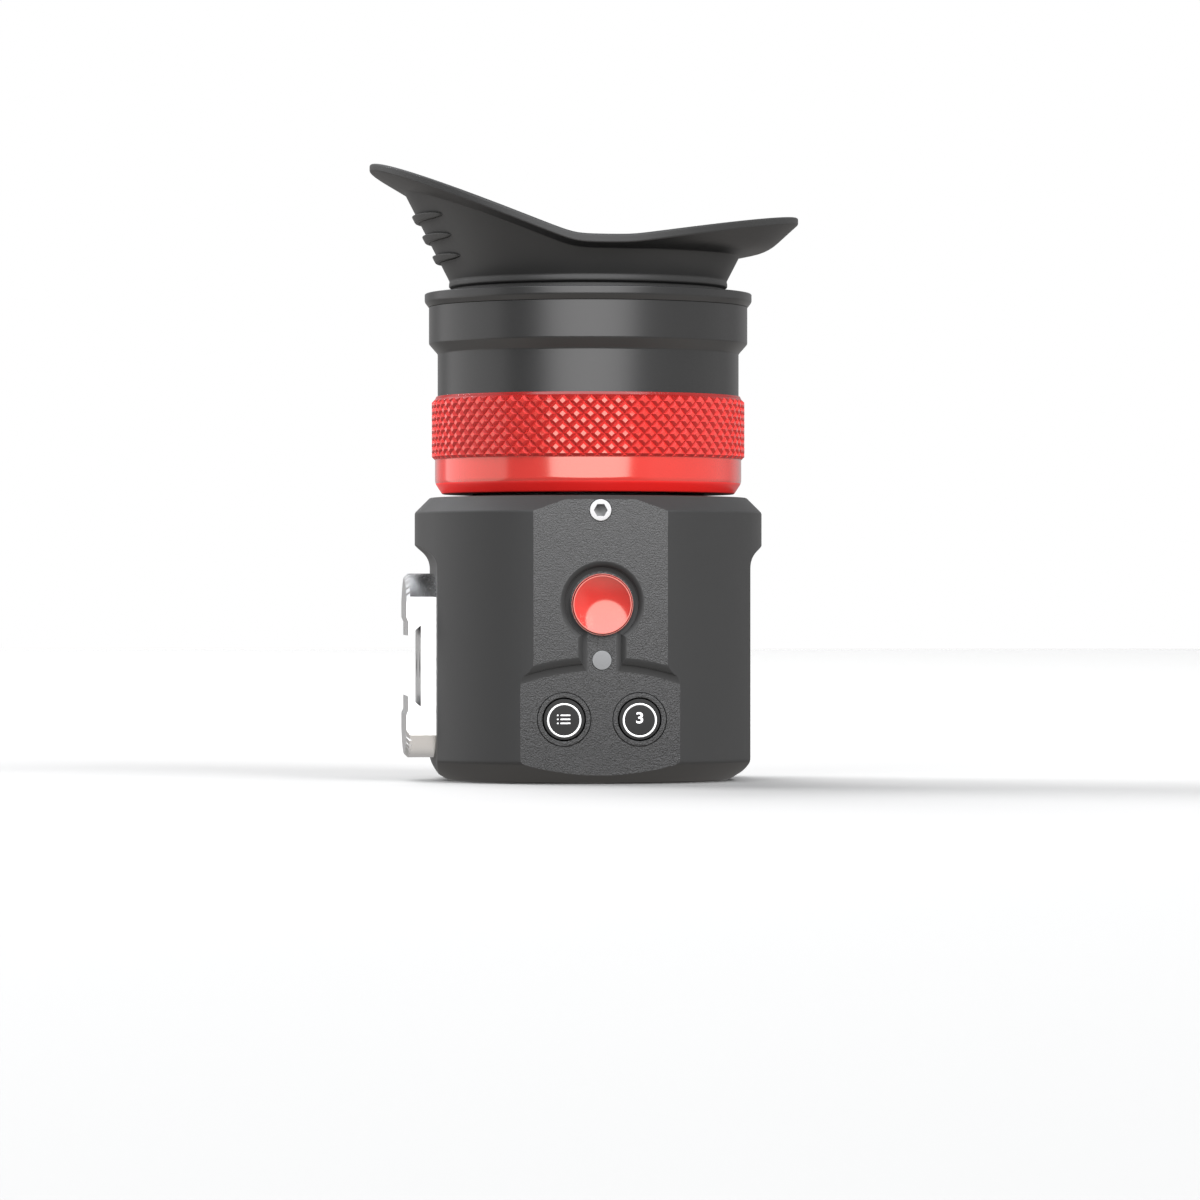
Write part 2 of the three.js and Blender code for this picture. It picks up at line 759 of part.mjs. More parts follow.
// Holes for the bracket's screws and for the signal socket
function otherHoles() {
  const holes = [-1, 1].map((side) => {
    const hole = rod(screwRadius + fitGap, cavitySide - overrun, bodyRadius + overrun, smallSides);
    return solidOf(toLeft(hole.translate((side * bracketScrewSpacing) / 2, bracketHeight, 0)));
  });
  const bore = rod(socketShellRadius + fitGap, cavityBack - overrun, bodyRadius + overrun, middleSides);
  const spot = rod(spotFaceRadius, spotFace, bodyRadius + overrun, middleSides);
  holes.push(solidOf(toBack(bore.translate(0, socketHeight, 0))));
  holes.push(solidOf(toBack(spot.translate(0, socketHeight, 0))));
  return holes;
}

function housing() {
  const shell = cut(housingShell(), sideCutter(1), sideCutter(-1), ledgeCutter(), recessCutter(), cavityCutter());
  const carrying = join(shell, ...baseBosses(), ...boardPosts(), ...carrierRails());
  return cut(carrying, ...frontHoles(), ...otherHoles());
}

place("housing", housing(), blackAnodised());

// Base cover, a stepped disc with four countersunk holes
function countersunkScrew(length) {
  return turned(
    [
      [0, -length],
      [screwRadius, -length],
      [screwRadius, -countersunkHeadHeight],
      [countersunkHeadRadius, 0],
      [0, 0],
    ],
    smallSides,
  );
}

function countersunkHole(length) {
  return turned(
    [
      [0, -length],
      [screwRadius + fitGap, -length],
      [screwRadius + fitGap, -countersunkHeadHeight],
      [countersunkHeadRadius + fitGap, 0],
      [countersunkHeadRadius + fitGap, overrun],
      [0, overrun],
    ],
    smallSides,
  );
}

function hexSocket(top) {
  return solidOf(raised(hexagon(hexHalfFlats), top - hexDepth, top + overrun));
}

function baseCover() {
  const disc = turned(
    [
      [0, 0],
      [coverRadius - coverEdge, 0],
      [coverRadius, coverEdge],
      [coverRadius, footHeight],
      [coverPlugRadius, footHeight],
      [coverPlugRadius, coverPlugHeight],
      [0, coverPlugHeight],
    ],
    largeSides,
  );
  const holes = baseScrewAngles.map((angle) => {
    const hole = countersunkHole(coverPlugHeight + overrun).rotateX(Math.PI);
    return solidOf(hole.translate(baseScrewRadius, 0, 0).rotateZ(angle));
  });
  return cut(solidOf(disc), ...holes);
}

place("base_cover", baseCover(), blackAnodised());

baseScrewAngles.forEach((angle, i) => {
  const screw = cut(solidOf(countersunkScrew(baseScrewLength)), hexSocket(0));
  const mesh = place("base_screw_" + (i + 1), screw, steel());
  mesh.rotation.x = Math.PI;
  mesh.position.set(baseScrewRadius * Math.cos(angle), baseScrewRadius * Math.sin(angle), 0);
});

// Dovetail bracket: a round plate cut flat front and back, with a slot along the camera axis
function bracket() {
  const disc = turned(
    [
      [0, sideFlat],
      [bracketRadius, sideFlat],
      [bracketRadius, bracketFace - bracketChamfer],
      [bracketRadius - bracketChamfer, bracketFace],
      [0, bracketFace],
    ],
    largeSides + middleSides,
  );
  const limits = solidOf(
    block(-bracketHalfWidth, bracketHalfWidth, -bracketRadius, bracketRadius, 0, bracketFace + overrun),
  );
  const slot = [
    [slotFloor, -slotInside],
    [bracketFace, -slotOpening],
    [bracketFace + overrun, -slotOpening],
    [bracketFace + overrun, slotOpening],
    [bracketFace, slotOpening],
    [slotFloor, slotInside],
  ];
  const wide = bracketHalfWidth + overrun;
  const slotCutter = solidOf(raised(slot, -wide, wide).rotateY(-Math.PI / 2));
  const screws = [-1, 1].map((side) =>
    solidOf(countersunkHole(bracketFace).translate((side * bracketScrewSpacing) / 2, 0, slotFloor)),
  );
  return cut(solidOf(disc).intersect(limits), slotCutter, ...screws, ...bracketReeds());
}

// Fine grooves down the chamfer, round the upper and the lower arc
function bracketReeds() {
  const middle = bracketRadius - half(bracketChamfer);
  const height = bracketFace - half(bracketChamfer);
  const grooves = [];
  for (const side of [-1, 1]) {
    for (let i = 0; i < reedCount; i++) {
      const angle = half(side * Math.PI) + (i - half(reedCount - 1)) * reedPitch;
      const groove = new THREE.BoxGeometry(2 * bracketChamfer + overrun, reedWidth, reedWidth);
      groove.rotateX(Math.PI / 4).rotateY(Math.PI / 4).translate(middle, 0, height);
      grooves.push(solidOf(groove.rotateZ(angle)));
    }
  }
  return grooves;
}

place("dovetail_bracket", bracket(), silver(), leftGroup, 0, bracketHeight, 0);

[-1, 1].forEach((side, i) => {
  const length = slotFloor - cavitySide - fitGap;
  const screw = cut(solidOf(countersunkScrew(length)), hexSocket(0));
  const x = (side * bracketScrewSpacing) / 2;
  place("bracket_screw_" + (i + 1), screw, steel(), leftGroup, x, bracketHeight, slotFloor);
});

// Guide sleeve, hung under the housing's top wall, and its lock screw
function guideSleeve() {
  const top = cavityTop - fitGap;
  return tubeOf([
    [sleeveBore, top - sleeveFlangeHeight],
    [sleeveFlangeRadius, top - sleeveFlangeHeight],
    [sleeveFlangeRadius, top],
    [sleeveCollarRadius, top],
    [sleeveCollarRadius, bodyTop - fitGap],
    [sleeveRadius, bodyTop - fitGap],
    [sleeveRadius, sleeveTop],
    [sleeveBore, sleeveTop],
  ]);
}

const tubeOf = (outline) => turned(outline, largeSides);

const keySlot = (gap) =>
  block(
    half(sleeveRadius + sleeveBore) - gap,
    sleeveRadius + keyReach + gap,
    -half(keyWidth) - gap,
    half(keyWidth) + gap,
    keyMiddle - half(keyLength) - gap,
    keyMiddle + half(keyLength) + gap,
  );

const lockHole = rod(socketShankRadius + fitGap, sleeveBore - overrun, bodyRadius, smallSides);
place(
  "guide_sleeve",
  cut(
    solidOf(guideSleeve()),
    solidOf(keySlot(fitGap)),
    solidOf(keySlot(fitGap).rotateZ(Math.PI)),
    solidOf(toFront(lockHole.translate(0, lockScrewHeight, 0))),
  ),
  blackAnodised(),
);
place("guide_key_1", keySlot(0), steel());
place("guide_key_2", keySlot(0).rotateZ(Math.PI), steel());

const lockScrew = join(
  solidOf(rod(socketHeadRadius, lockHeadSeat() + fitGap, upperPadFace, middleSides)),
  solidOf(rod(socketShankRadius, sleeveBore + runGap, lockHeadSeat() + bite, smallSides)),
);
place("sleeve_lock_screw", cut(lockScrew, hexSocket(upperPadFace)), silver(), frontGroup, 0, lockScrewHeight, 0);

place(
  "thrust_washer",
  tube(washerRadius, sleeveRadius + fitGap, bodyTop, bodyTop + washerHeight, largeSides),
  darkPlastic(),
);
const retainerBottom = ringFlangeTop + runGap;
place(
  "ring_retainer",
  tube(retainerRadius, sleeveRadius + fitGap, retainerBottom, retainerBottom + retainerHeight, largeSides),
  steel(),
);

// Diopter ring
function diopterRing() {
  const outline = [
    [ringFlangeBore, ringBottom],
    [ringBottomRadius, ringBottom],
    [ringBandRadius, ringBandStart],
    [ringBandRadius, ringKnurlStart],
    [ringKnurlRadius, ringKnurlStart + ringStep],
    [ringKnurlRadius, ringTop - ringTopRound * 2],
    [ringKnurlRadius - half(ringTopRound), ringTop - half(ringTopRound)],
    [ringKnurlRadius - ringTopRound, ringTop],
    [counterboreRadius, ringTop],
    [counterboreRadius, counterboreFloor],
    [ringBore, counterboreFloor],
    [ringBore, ringFlangeTop],
    [ringFlangeBore, ringFlangeTop],
  ];
  const seat = rod(pinRadius + fitGap, ringBore - overrun, ringBore + pinSeatDepth, smallSides);
  const seats = [1, -1].map((side) => {
    const hole = seat.clone().translate(0, pinHeight, 0);
    return solidOf(side > 0 ? toFront(hole) : toBack(hole));
  });
  return cut(solidOf(tubeOf(outline)), ...seats);
}

place("diopter_ring", diopterRing(), redAnodised());

// Two drive pins reach from the ring into the barrel's helical grooves
[frontGroup, backGroup].forEach((group, i) => {
  const pin = rod(pinRadius, skirtRadius - grooveDepth + runGap, ringBore + pinSeatDepth - fitGap, smallSides);
  place("drive_pin_" + (i + 1), pin, steel(), group, 0, pinHeight, 0);
});

// A bar that climbs round the axis, to cut a helical groove
function helicalBar(innerRadius, outerRadius, width, startAngle, sweep, startHeight, climb, steps) {
  const places = [];
  const faces = [];
  for (let i = 0; i <= steps; i++) {
    const share = i / steps;
    const angle = startAngle + sweep * share;
    const height = startHeight + climb * share;
    for (const [radius, lift] of [
      [innerRadius, -half(width)],
      [outerRadius, -half(width)],
      [outerRadius, half(width)],
      [innerRadius, half(width)],
    ]) {
      places.push(radius * Math.cos(angle), radius * Math.sin(angle), height + lift);
    }
  }
  const quad = (a, b, c, d) => faces.push(a, b, c, a, c, d);
  for (let i = 0; i < steps; i++) {
    for (let k = 0; k < 4; k++) {
      const next = (k + 1) % 4;
      quad(4 * i + k, 4 * i + 4 + k, 4 * i + 4 + next, 4 * i + next);
    }
  }
  quad(0, 1, 2, 3);
  const last = 4 * steps;
  quad(last + 3, last + 2, last + 1, last);
  return new THREE.BufferGeometry()
    .setAttribute("position", new THREE.BufferAttribute(new Float32Array(places), 3))
    .setIndex(faces);
}

// Eyepiece barrel
function barrel() {
  const clipLow = clipMiddle - half(clipThickness) - fitGap;
  const clipHigh = clipMiddle + half(clipThickness) + fitGap;
  const outline = [
    [skirtBore, skirtBottom],
    [skirtRadius, skirtBottom],
    [skirtRadius, shoulderBottom],
    [barrelRadius, shoulderBottom],
    [barrelRadius, barrelBevelStart],
    [barrelUpperRadius, barrelUpperStart],
    [barrelUpperRadius, barrelTop],
    [spigotRadius, barrelTop],
    [spigotRadius, clipLow],
    [spigotRadius - clipSeat, clipLow],
    [spigotRadius - clipSeat, clipHigh],
    [spigotRadius, clipHigh],
    [spigotRadius, barrelTop + spigotHeight],
    [lensBore, barrelTop + spigotHeight],
    [lensBore, lensSeat],
    [lensSeatBore, lensSeat],
    [lensSeatBore, lensSeat - lensSeatThickness],
    [skirtBore, lensSeat - lensSeatThickness],
  ];
  return cut(solidOf(tubeOf(outline)), ...keyways(), ...helicalGrooves());
}

function keyways() {
  const halfWidth = half(keyWidth) + runGap;
  const reach = sleeveRadius + keyReach + runGap;
  const top = keyMiddle + half(keyLength) + slideLimit + overrun;
  return [0, Math.PI].map((angle) => {
    const way = block(sleeveBore, reach, -halfWidth, halfWidth, skirtBottom - overrun, top);
    return solidOf(way.rotateZ(angle));
  });
}

// The barrel rises as the ring turns anticlockwise, so its grooves fall that way
function helicalGrooves() {
  const margin = (pinRadius + runGap) / skirtRadius;
  const reach = turnLimit + margin;
  const climb = (-2 * slideLimit * reach) / turnLimit;
  const width = 2 * (pinRadius + runGap);
  return [-half(Math.PI), half(Math.PI)].map((angle) =>
    solidOf(
      helicalBar(
        skirtRadius - grooveDepth,
        skirtRadius + overrun,
        width,
        angle - reach,
        2 * reach,
        pinHeight - half(climb),
        climb,
        middleSides,
      ),
    ),
  );
}

place("eyepiece_barrel", barrel(), blackAnodised());

// A lens with a bulge on each side, inside the flat margin that its seat holds
function lens(bottom, edge, bulge) {
  const outline = [];
  const clearRadius = lensSeatBore - fitGap;
  for (let i = 0; i <= lensSteps; i++) {
    const share = i / lensSteps;
    outline.push([clearRadius * share, bottom - bulge * (1 - share * share)]);
  }
  outline.push([lensRadius, bottom], [lensRadius, bottom + edge]);
  for (let i = lensSteps; i >= 0; i--) {
    const share = i / lensSteps;
    outline.push([clearRadius * share, bottom + edge + bulge * (1 - share * share)]);
  }
  return turned(outline, middleSides);
}

const lensRadius = lensBore - runGap;
place("field_lens", lens(lensSeat, fieldLensEdge, fieldLensBulge), clearGlass());
place(
  "lens_spacer",
  tube(lensRadius, lensRadius - lensSpacerWall, spacerBottom, spacerBottom + lensSpacerHeight, middleSides),
  blackAnodised(),
);
place("eye_lens", lens(eyeLensBottom, eyeLensEdge, eyeLensBulge), clearGlass());
place(
  "lens_retainer",
  tube(
    lensRadius,
    lensRadius - lensRetainerWall,
    lensRetainerBottom,
    lensRetainerBottom + lensRetainerHeight,
    middleSides,
  ),
  blackAnodised(),
);
place(
  "swivel_clip",
  tube(
    clipRadius,
    spigotRadius - clipSeat + fitGap,
    clipMiddle - half(clipThickness),
    clipMiddle + half(clipThickness),
    largeSides,
  ),
  steel(),
);

// Eyecup ring: turns on the barrel's spigot and holds the rubber eyecup
function eyecupRing() {
  const bottom = barrelTop + rimGap;
  const bore = spigotRadius + runGap;
  const grooveLow = clipMiddle - half(clipThickness) - runGap;
  const grooveHigh = clipMiddle + half(clipThickness) + runGap;
  return tubeOf([
    [bore, bottom],
    [barrelUpperRadius, bottom],
    [rimRadius, bottom + rimUnderChamfer],
    [rimRadius, rimSideTop],
    [rimRadius - rimTopRound, rimTop],
    [rimRecessRadius, rimTop],
    [rimRecessRadius, rimRecessFloor],
    [bore, rimRecessFloor],
    [bore, grooveHigh],
    [clipRadius + runGap, grooveHigh],
    [clipRadius + runGap, grooveLow],
    [bore, grooveLow],
  ]);
}

place("eyecup_ring", eyecupRing(), blackAnodised());

// A slope that starts softly at zero
const ramp = (x) => half(x + Math.hypot(x, lipBlend) - lipBlend);

const lipHeightAt = (x) =>
  lipSaddleHeight + lipLeftSlope * ramp(-x - lipLeftStart) + lipRightSlope * ramp(x - lipRightStart);

const creaseHeightAt = (x) => cupCreaseHeight + cupCreaseSlope * ramp(-x - cupCreaseStart);

// One section of the eyecup at an angle round the axis, from the flange's bottom outward and back
function cupSection(angle) {
  const [c, s] = [Math.cos(angle), Math.sin(angle)];
  const spot = (radius, height) => new THREE.Vector3(radius * c, radius * s, height);
  const flangeBottom = rimRecessFloor + fitGap;
  const flangeTop = rimTop - fitGap;
  const flangeRadius = rimRecessRadius - runGap;

  let crease = cupCreaseHeight;
  for (let i = 0; i < filletSteps * 2; i++) crease = creaseHeightAt(coneRadiusAt(crease) * c);
  const creaseRadius = coneRadiusAt(crease);

  const tip = new THREE.Vector3(lipCentre + lipHalfLength * c, lipHalfWidth * s, 0);
  tip.z = lipHeightAt(tip.x);
  const outward = new THREE.Vector3(c, s, 0);
  const up = new THREE.Vector3(0, 0, 1);
  const wallFoot = spot(creaseRadius, crease);
  const edgeBottom = tip.clone().addScaledVector(up, -lipThickness);
  const knee = wallFoot.clone().lerp(edgeBottom, 1 / 2);
  const sag = lipSag * Math.max(c, 0) ** 2;
  knee.addScaledVector(up, -sag);
  const innerKnee = knee.clone().addScaledVector(up, lipThickness).addScaledVector(outward, -half(sag));
  const innerFoot = spot(creaseRadius - cupWall, crease + lipEdgeRound);
  const neckBore = cupNeckRadius - cupWall;
  return [
    spot(neckBore, flangeBottom),
    spot(flangeRadius, flangeBottom),
    spot(flangeRadius, flangeTop),
    spot(cupNeckRadius, flangeTop),
    spot(cupNeckRadius, cupNeckTop),
    wallFoot,
    knee,
    edgeBottom,
    tip.clone().addScaledVector(outward, -lipEdgeRound),
    innerKnee,
    innerFoot,
    spot(neckBore, cupNeckTop),
  ];
}

// Sections round the axis, joined to a closed skin
function skinned(sections) {
  const places = sections.flat().flatMap((p) => [p.x, p.y, p.z]);
  const faces = [];
  const [count, points] = [sections.length, sections[0].length];
  for (let i = 0; i < count; i++) {
    for (let k = 0; k < points; k++) {
      const [a, b] = [i * points + k, ((i + 1) % count) * points + k];
      const [c, d] = [((i + 1) % count) * points + ((k + 1) % points), i * points + ((k + 1) % points)];
      faces.push(a, b, c, a, c, d);
    }
  }
  return new THREE.BufferGeometry()
    .setAttribute("position", new THREE.BufferAttribute(new Float32Array(places), 3))
    .setIndex(faces);
}

// Plain grip ridges on the raised side, each following the cone
function gripRidge(middle) {
  const section = (angle, grow) => {
    const [c, s] = [Math.cos(angle), Math.sin(angle)];
    const spot = (radius, height) => new THREE.Vector3(radius * c, radius * s, height);
    const [low, high] = [middle - half(gripHeight) * grow, middle + half(gripHeight) * grow];
    return [
      spot(coneRadiusAt(low) - bite, low),
      spot(coneRadiusAt(low) + gripReach * grow - fitGap, low),
      spot(coneRadiusAt(high) + gripReach * grow - fitGap, high),
      spot(coneRadiusAt(high) - bite, high),
    ];
  };
  const sections = [];
  for (let i = 0; i <= gripSteps; i++) {
    const share = (2 * i) / gripSteps - 1;
    const grow = 1 - half(share ** 4);
    sections.push(section(Math.PI + half(gripSweep) * share, grow));
  }
  const places = sections.flat().flatMap((p) => [p.x, p.y, p.z]);
  const faces = [];
  const quad = (a, b, c, d) => faces.push(a, b, c, a, c, d);
  for (let i = 0; i < gripSteps; i++) {
    for (let k = 0; k < 4; k++) {
      const next = (k + 1) % 4;
      quad(4 * i + k, 4 * i + 4 + k, 4 * i + 4 + next, 4 * i + next);
    }
  }
  quad(0, 1, 2, 3);
  const last = 4 * gripSteps;
  quad(last + 3, last + 2, last + 1, last);
  return new THREE.BufferGeometry()
    .setAttribute("position", new THREE.BufferAttribute(new Float32Array(places), 3))
    .setIndex(faces);
}

function eyecup() {
  const sections = Array.from({ length: largeSides }, (_, i) => cupSection((i * 2 * Math.PI) / largeSides));
  const ridges = Array.from({ length: gripCount }, (_, i) => solidOf(gripRidge(gripFirst + i * gripPitch)));
  return join(solidOf(skinned(sections)), ...ridges);
}

place("eyecup", eyecup(), rubber());

// Button bezels, caps and their switches
function buttonCap() {
  const flangeBack = buttonFlangeBack;
  const stemEnd = switchTop + plungerClearance + buttonTravel + plungerReach;
  return turned(
    [
      [0, stemEnd],
      [buttonStemRadius, stemEnd],
      [buttonStemRadius, flangeBack],
      [buttonFlangeRadius, flangeBack],
      [buttonFlangeRadius, buttonFlangeFace],
      [buttonRadius, buttonFlangeFace],
      [buttonRadius, buttonFace - buttonRound],
      [buttonRadius - buttonRound, buttonFace],
      [0, buttonFace],
    ],
    middleSides,
  );
}

function pushSwitch(reach) {
  const side = half(switchSide);
  const body = solidOf(block(-side, side, -side, side, controlBoardFace, switchTop));
  if (reach === 0) return body;
  return body.add(solidOf(rod(plungerRadius, switchTop - bite, switchTop + reach, smallSides)));
}

["menu", "function"].forEach((name, i) => {
  const x = buttonPlaces[i];
  const bezel = tube(
    bezelRadius,
    buttonRadius + runGap,
    lowerPadFace - bezelThickness,
    lowerPadFace,
    middleSides,
  );
  place(name + "_button_bezel", bezel, greyPad(), frontGroup, x, buttonHeight, 0);
  place(name + "_button_cap", buttonCap(), darkPlastic(), frontGroup, x, buttonHeight, 0);
  place(name + "_switch", pushSwitch(plungerReach), darkPlastic(), frontGroup, x, buttonHeight, 0);
});

// Joystick: a dished cap whose stem slides in a yoke, in a gimbal ring, in a base
function joystickCap() {
  const bowlRadius = dishRadius - dishLipWidth;
  const outline = [
    [0, joystickStemEnd],
    [dishStemRadius, joystickStemEnd],
    [dishStemRadius, dishFace - dishDepth - dishWall * 2],
    [dishRadius * (2 / 3), dishFace - dishDepth - half(dishWall)],
    [dishRadius - dishUndercut, lowerPadFace + runGap],
    [dishRadius, dishFace - dishLip],
    [dishRadius, dishFace],
    [bowlRadius, dishFace],
  ];
  for (let i = lensSteps; i >= 0; i--) {
    const share = i / (lensSteps + 1);
    outline.push([bowlRadius * share, dishFace - dishDepth * (1 - share * share)]);
  }
  return turned(outline, middleSides);
}

function joystickBase() {
  const ring = solidOf(tube(joystickBaseRadius, joystickBaseBore, controlBoardFace, joystickBaseFace, middleSides));
  const wide = joystickBaseRadius + overrun;
  const hole = rod(pivotPinRadius + fitGap, -wide, wide, smallSides).rotateY(Math.PI / 2);
  return cut(ring, solidOf(hole.translate(0, 0, pivotFace)));
}

function gimbalRing() {
  const [low, high] = [pivotFace - half(gimbalThickness), pivotFace + half(gimbalThickness)];
  const ring = solidOf(tube(gimbalRadius, gimbalBore, low, high, middleSides));
  const pins = [-1, 1].map((side) => {
    const pin = rod(pivotPinRadius, gimbalRadius - bite, joystickBaseRadius - fitGap, smallSides);
    return solidOf(pin.rotateY((side * Math.PI) / 2).translate(0, 0, pivotFace));
  });
  const wide = gimbalRadius + overrun;
  const hole = rod(pivotPinRadius + fitGap, -wide, wide, smallSides).rotateX(Math.PI / 2);
  return cut(join(ring, ...pins), solidOf(hole.translate(0, 0, pivotFace)));
}

function joystickYoke() {
  const [low, high] = [pivotFace - half(yokeThickness), pivotFace + half(yokeThickness)];
  const hub = solidOf(rod(yokeRadius, low, high, middleSides));
  const reach = gimbalRadius - fitGap;
  const pin = rod(pivotPinRadius, -reach, reach, smallSides).rotateX(Math.PI / 2);
  const bore = solidOf(rod(dishStemRadius + fitGap, low - overrun, high + overrun, middleSides));
  return cut(hub.add(solidOf(pin.translate(0, 0, pivotFace))), bore);
}

const atJoystick = (name, shape, material) =>
  place(name, shape, material, frontGroup, controlOffset, joystickHeight, 0);
atJoystick("joystick_cap", joystickCap(), redAnodised());
atJoystick("joystick_base", joystickBase(), darkPlastic());
atJoystick("joystick_gimbal_ring", gimbalRing(), steel());
atJoystick("joystick_yoke", joystickYoke(), darkPlastic());
atJoystick("joystick_switch", pushSwitch(0), darkPlastic());

place(
  "status_window",
  rod(statusRadius, controlBoardFace + fitGap, lowerPadFace, middleSides),
  greyWindow(),
  frontGroup,
  controlOffset,
  statusHeight,
  0,
);

// Control board, held to its posts by two screws
function controlBoard() {
  const board = block(
    -controlBoardHalfWidth,
    controlBoardHalfWidth,
    controlBoardBottom,
    controlBoardTop,
    controlBoardBack,
    controlBoardFace,
  );
  const holes = [
    [-boardPostX, boardPostHigh],
    [boardPostX, boardPostLow],
  ].map(([x, height]) => {
    const hole = rod(smallShankRadius + fitGap, controlBoardBack - overrun, controlBoardFace + overrun, smallSides);
    return solidOf(hole.translate(x, height, 0));
  });
  return cut(solidOf(board), ...holes);
}

place("control_board", controlBoard(), boardGreen(), frontGroup);

const smallScrew = () =>
  turned(
    [
      [0, -smallHeadHeight],
      [smallHeadRadius, -smallHeadHeight],
      [smallHeadRadius, 0],
      [smallShankRadius, 0],
      [smallShankRadius, boardScrewLength],
      [0, boardScrewLength],
    ],
    smallSides,
  );

place("board_screw_1", smallScrew(), steel(), frontGroup, -boardPostX, boardPostHigh, controlBoardBack);
place("board_screw_2", smallScrew(), steel(), frontGroup, boardPostX, boardPostLow, controlBoardBack);

// Display carrier: a plate across the housing with four posts below for the driver board
function displayCarrier() {
  const plate = solidOf(
    block(-carrierHalfLength, carrierHalfLength, -carrierFront, carrierBack, carrierBottom, carrierTop),
  );
  const limit = solidOf(rod(cavityRadius - runGap, carrierBottom - overrun, carrierTop + overrun, largeSides));
  const gap = fitGap;
  const seat = block(
    -half(panelWidth) - gap,
    half(panelWidth) + gap,
    -half(panelDepth) - gap,
    half(panelDepth) + gap,
    panelBottom,
    carrierTop + overrun,
  );
  const slotFront = half(panelDepth) + carrierSlotDepth;
  const slot = block(
    -half(carrierSlotWidth),
    half(carrierSlotWidth),
    slotFront,
    slotFront + carrierSlotDepth,
    carrierBottom - overrun,
    carrierTop + overrun,
  );
  const holes = [-1, 1].map((side) => {
    const hole = rod(smallShankRadius + fitGap, carrierBottom - overrun, carrierTop + overrun, smallSides);
    return solidOf(hole.translate(side * (cavitySide - carrierScrewInset - fitGap), carrierScrewY, 0));
  });
  const posts = [];
  for (const x of [-half(carrierPostSpacingX), half(carrierPostSpacingX)]) {
    for (const y of [-half(carrierPostSpacingY), half(carrierPostSpacingY)]) {
      const post = rod(carrierPostRadius, driverBoardTop, carrierBottom + bite, smallSides);
      posts.push(solidOf(post.translate(x, y, 0)));
    }
  }
  return join(cut(plate.intersect(limit), solidOf(seat), solidOf(slot), ...holes), ...posts);
}

place("display_carrier", displayCarrier(), darkPlastic());
[-1, 1].forEach((side, i) => {
  const mesh = place("carrier_screw_" + (i + 1), smallScrew(), steel());
  mesh.rotation.x = Math.PI;
  mesh.position.set(side * (cavitySide - carrierScrewInset - fitGap), carrierScrewY, carrierTop);
});

const centredBlock = (width, depth, low, high) =>
  block(-half(width), half(width), -half(depth), half(depth), low, high);

place("display_panel", centredBlock(panelWidth, panelDepth, panelBottom, panelTop), darkPlastic());
place("display_window", centredBlock(windowWidth, windowDepth, panelTop, panelTop + windowThickness), clearGlass());
place(
  "driver_board",
  centredBlock(driverBoardWidth, driverBoardDepth, driverBoardBottom, driverBoardTop),
  boardGreen(),
);

// A ribbon along points given as [y, z], with its width along X
function ribbon(points, width) {
  const path = points.map(([y, z]) => new THREE.Vector2(y, z));
  const side = (sign) =>
    path.map((point, i) => {
      const before = path[Math.max(i - 1, 0)];
      const after = path[Math.min(i + 1, path.length - 1)];
      const [a, b] = [point.clone().sub(before), after.clone().sub(point)];
      if (i === 0) a.copy(b);
      if (i === path.length - 1) b.copy(a);
      const normals = [a, b].map((v) => new THREE.Vector2(-v.y, v.x).normalize());
      const middle = normals[0].clone().add(normals[1]).normalize();
      const reach = half(flexThickness) / middle.dot(normals[0]);
      return point.clone().addScaledVector(middle, sign * reach);
    });
  const outline = [...side(-1), ...side(1).reverse()].map((point) => [point.x, point.y]);
  const strip = raised(outline, -half(width), half(width));
  return strip.rotateX(Math.PI / 2).rotateZ(Math.PI / 2);
}

// Each ribbon starts and ends on the pieces that it joins
const aboveSeat = half(flexThickness);
const slotMiddle = half(panelDepth) + carrierSlotDepth * (3 / 2);
place(
  "display_flex",
  ribbon(
    [
      [half(panelDepth) - flexStandoff, panelTop + aboveSeat],
      [slotMiddle, panelTop + aboveSeat],
      [slotMiddle, driverBoardTop + aboveSeat],
      [half(panelDepth) - flexStandoff, driverBoardTop + aboveSeat],
    ],
    flexWidth,
  ),
  amberFilm(),
);
place(
  "control_flex",
  ribbon(
    [
      [-controlBoardBack + aboveSeat, driverBoardBottom - 4 * flexStandoff],
      [-controlBoardBack + aboveSeat, driverBoardBottom - aboveSeat],
      [-half(driverBoardDepth) + 2 * flexStandoff, driverBoardBottom - aboveSeat],
    ],
    flexWidth,
  ),
  amberFilm(),
);
place(
  "signal_flex",
  ribbon(
    [
      [socketInnerEnd - aboveSeat, socketHeight - socketBore],
      [socketInnerEnd - aboveSeat, driverBoardBottom - aboveSeat],
      [half(driverBoardDepth) - 2 * flexStandoff, driverBoardBottom - aboveSeat],
    ],
    2 * contactCircle,
  ),
  amberFilm(),
);

// Signal socket: shell with an inner flange, its nut outside and the contact insert
const socketShell = turned(
  [
    [socketBore, socketInnerEnd],
    [socketShellRadius, socketInnerEnd],
    [socketShellRadius, cavityBack - fitGap - socketFlangeThickness],
    [socketFlangeRadius, cavityBack - fitGap - socketFlangeThickness],
    [socketFlangeRadius, cavityBack - fitGap],
    [socketShellRadius, cavityBack - fitGap],
    [socketShellRadius, socketOuterEnd],
    [socketBore, socketOuterEnd],
  ],
  middleSides,
);
place("signal_socket", socketShell, steel(), backGroup, 0, socketHeight, 0);

const nut = cut(
  solidOf(raised(hexagon(nutHalfFlats), spotFace, spotFace + nutThickness)),
  solidOf(rod(socketShellRadius + fitGap, spotFace - overrun, spotFace + nutThickness + overrun, middleSides)),
);
place("socket_nut", nut, steel(), backGroup, 0, socketHeight, 0);

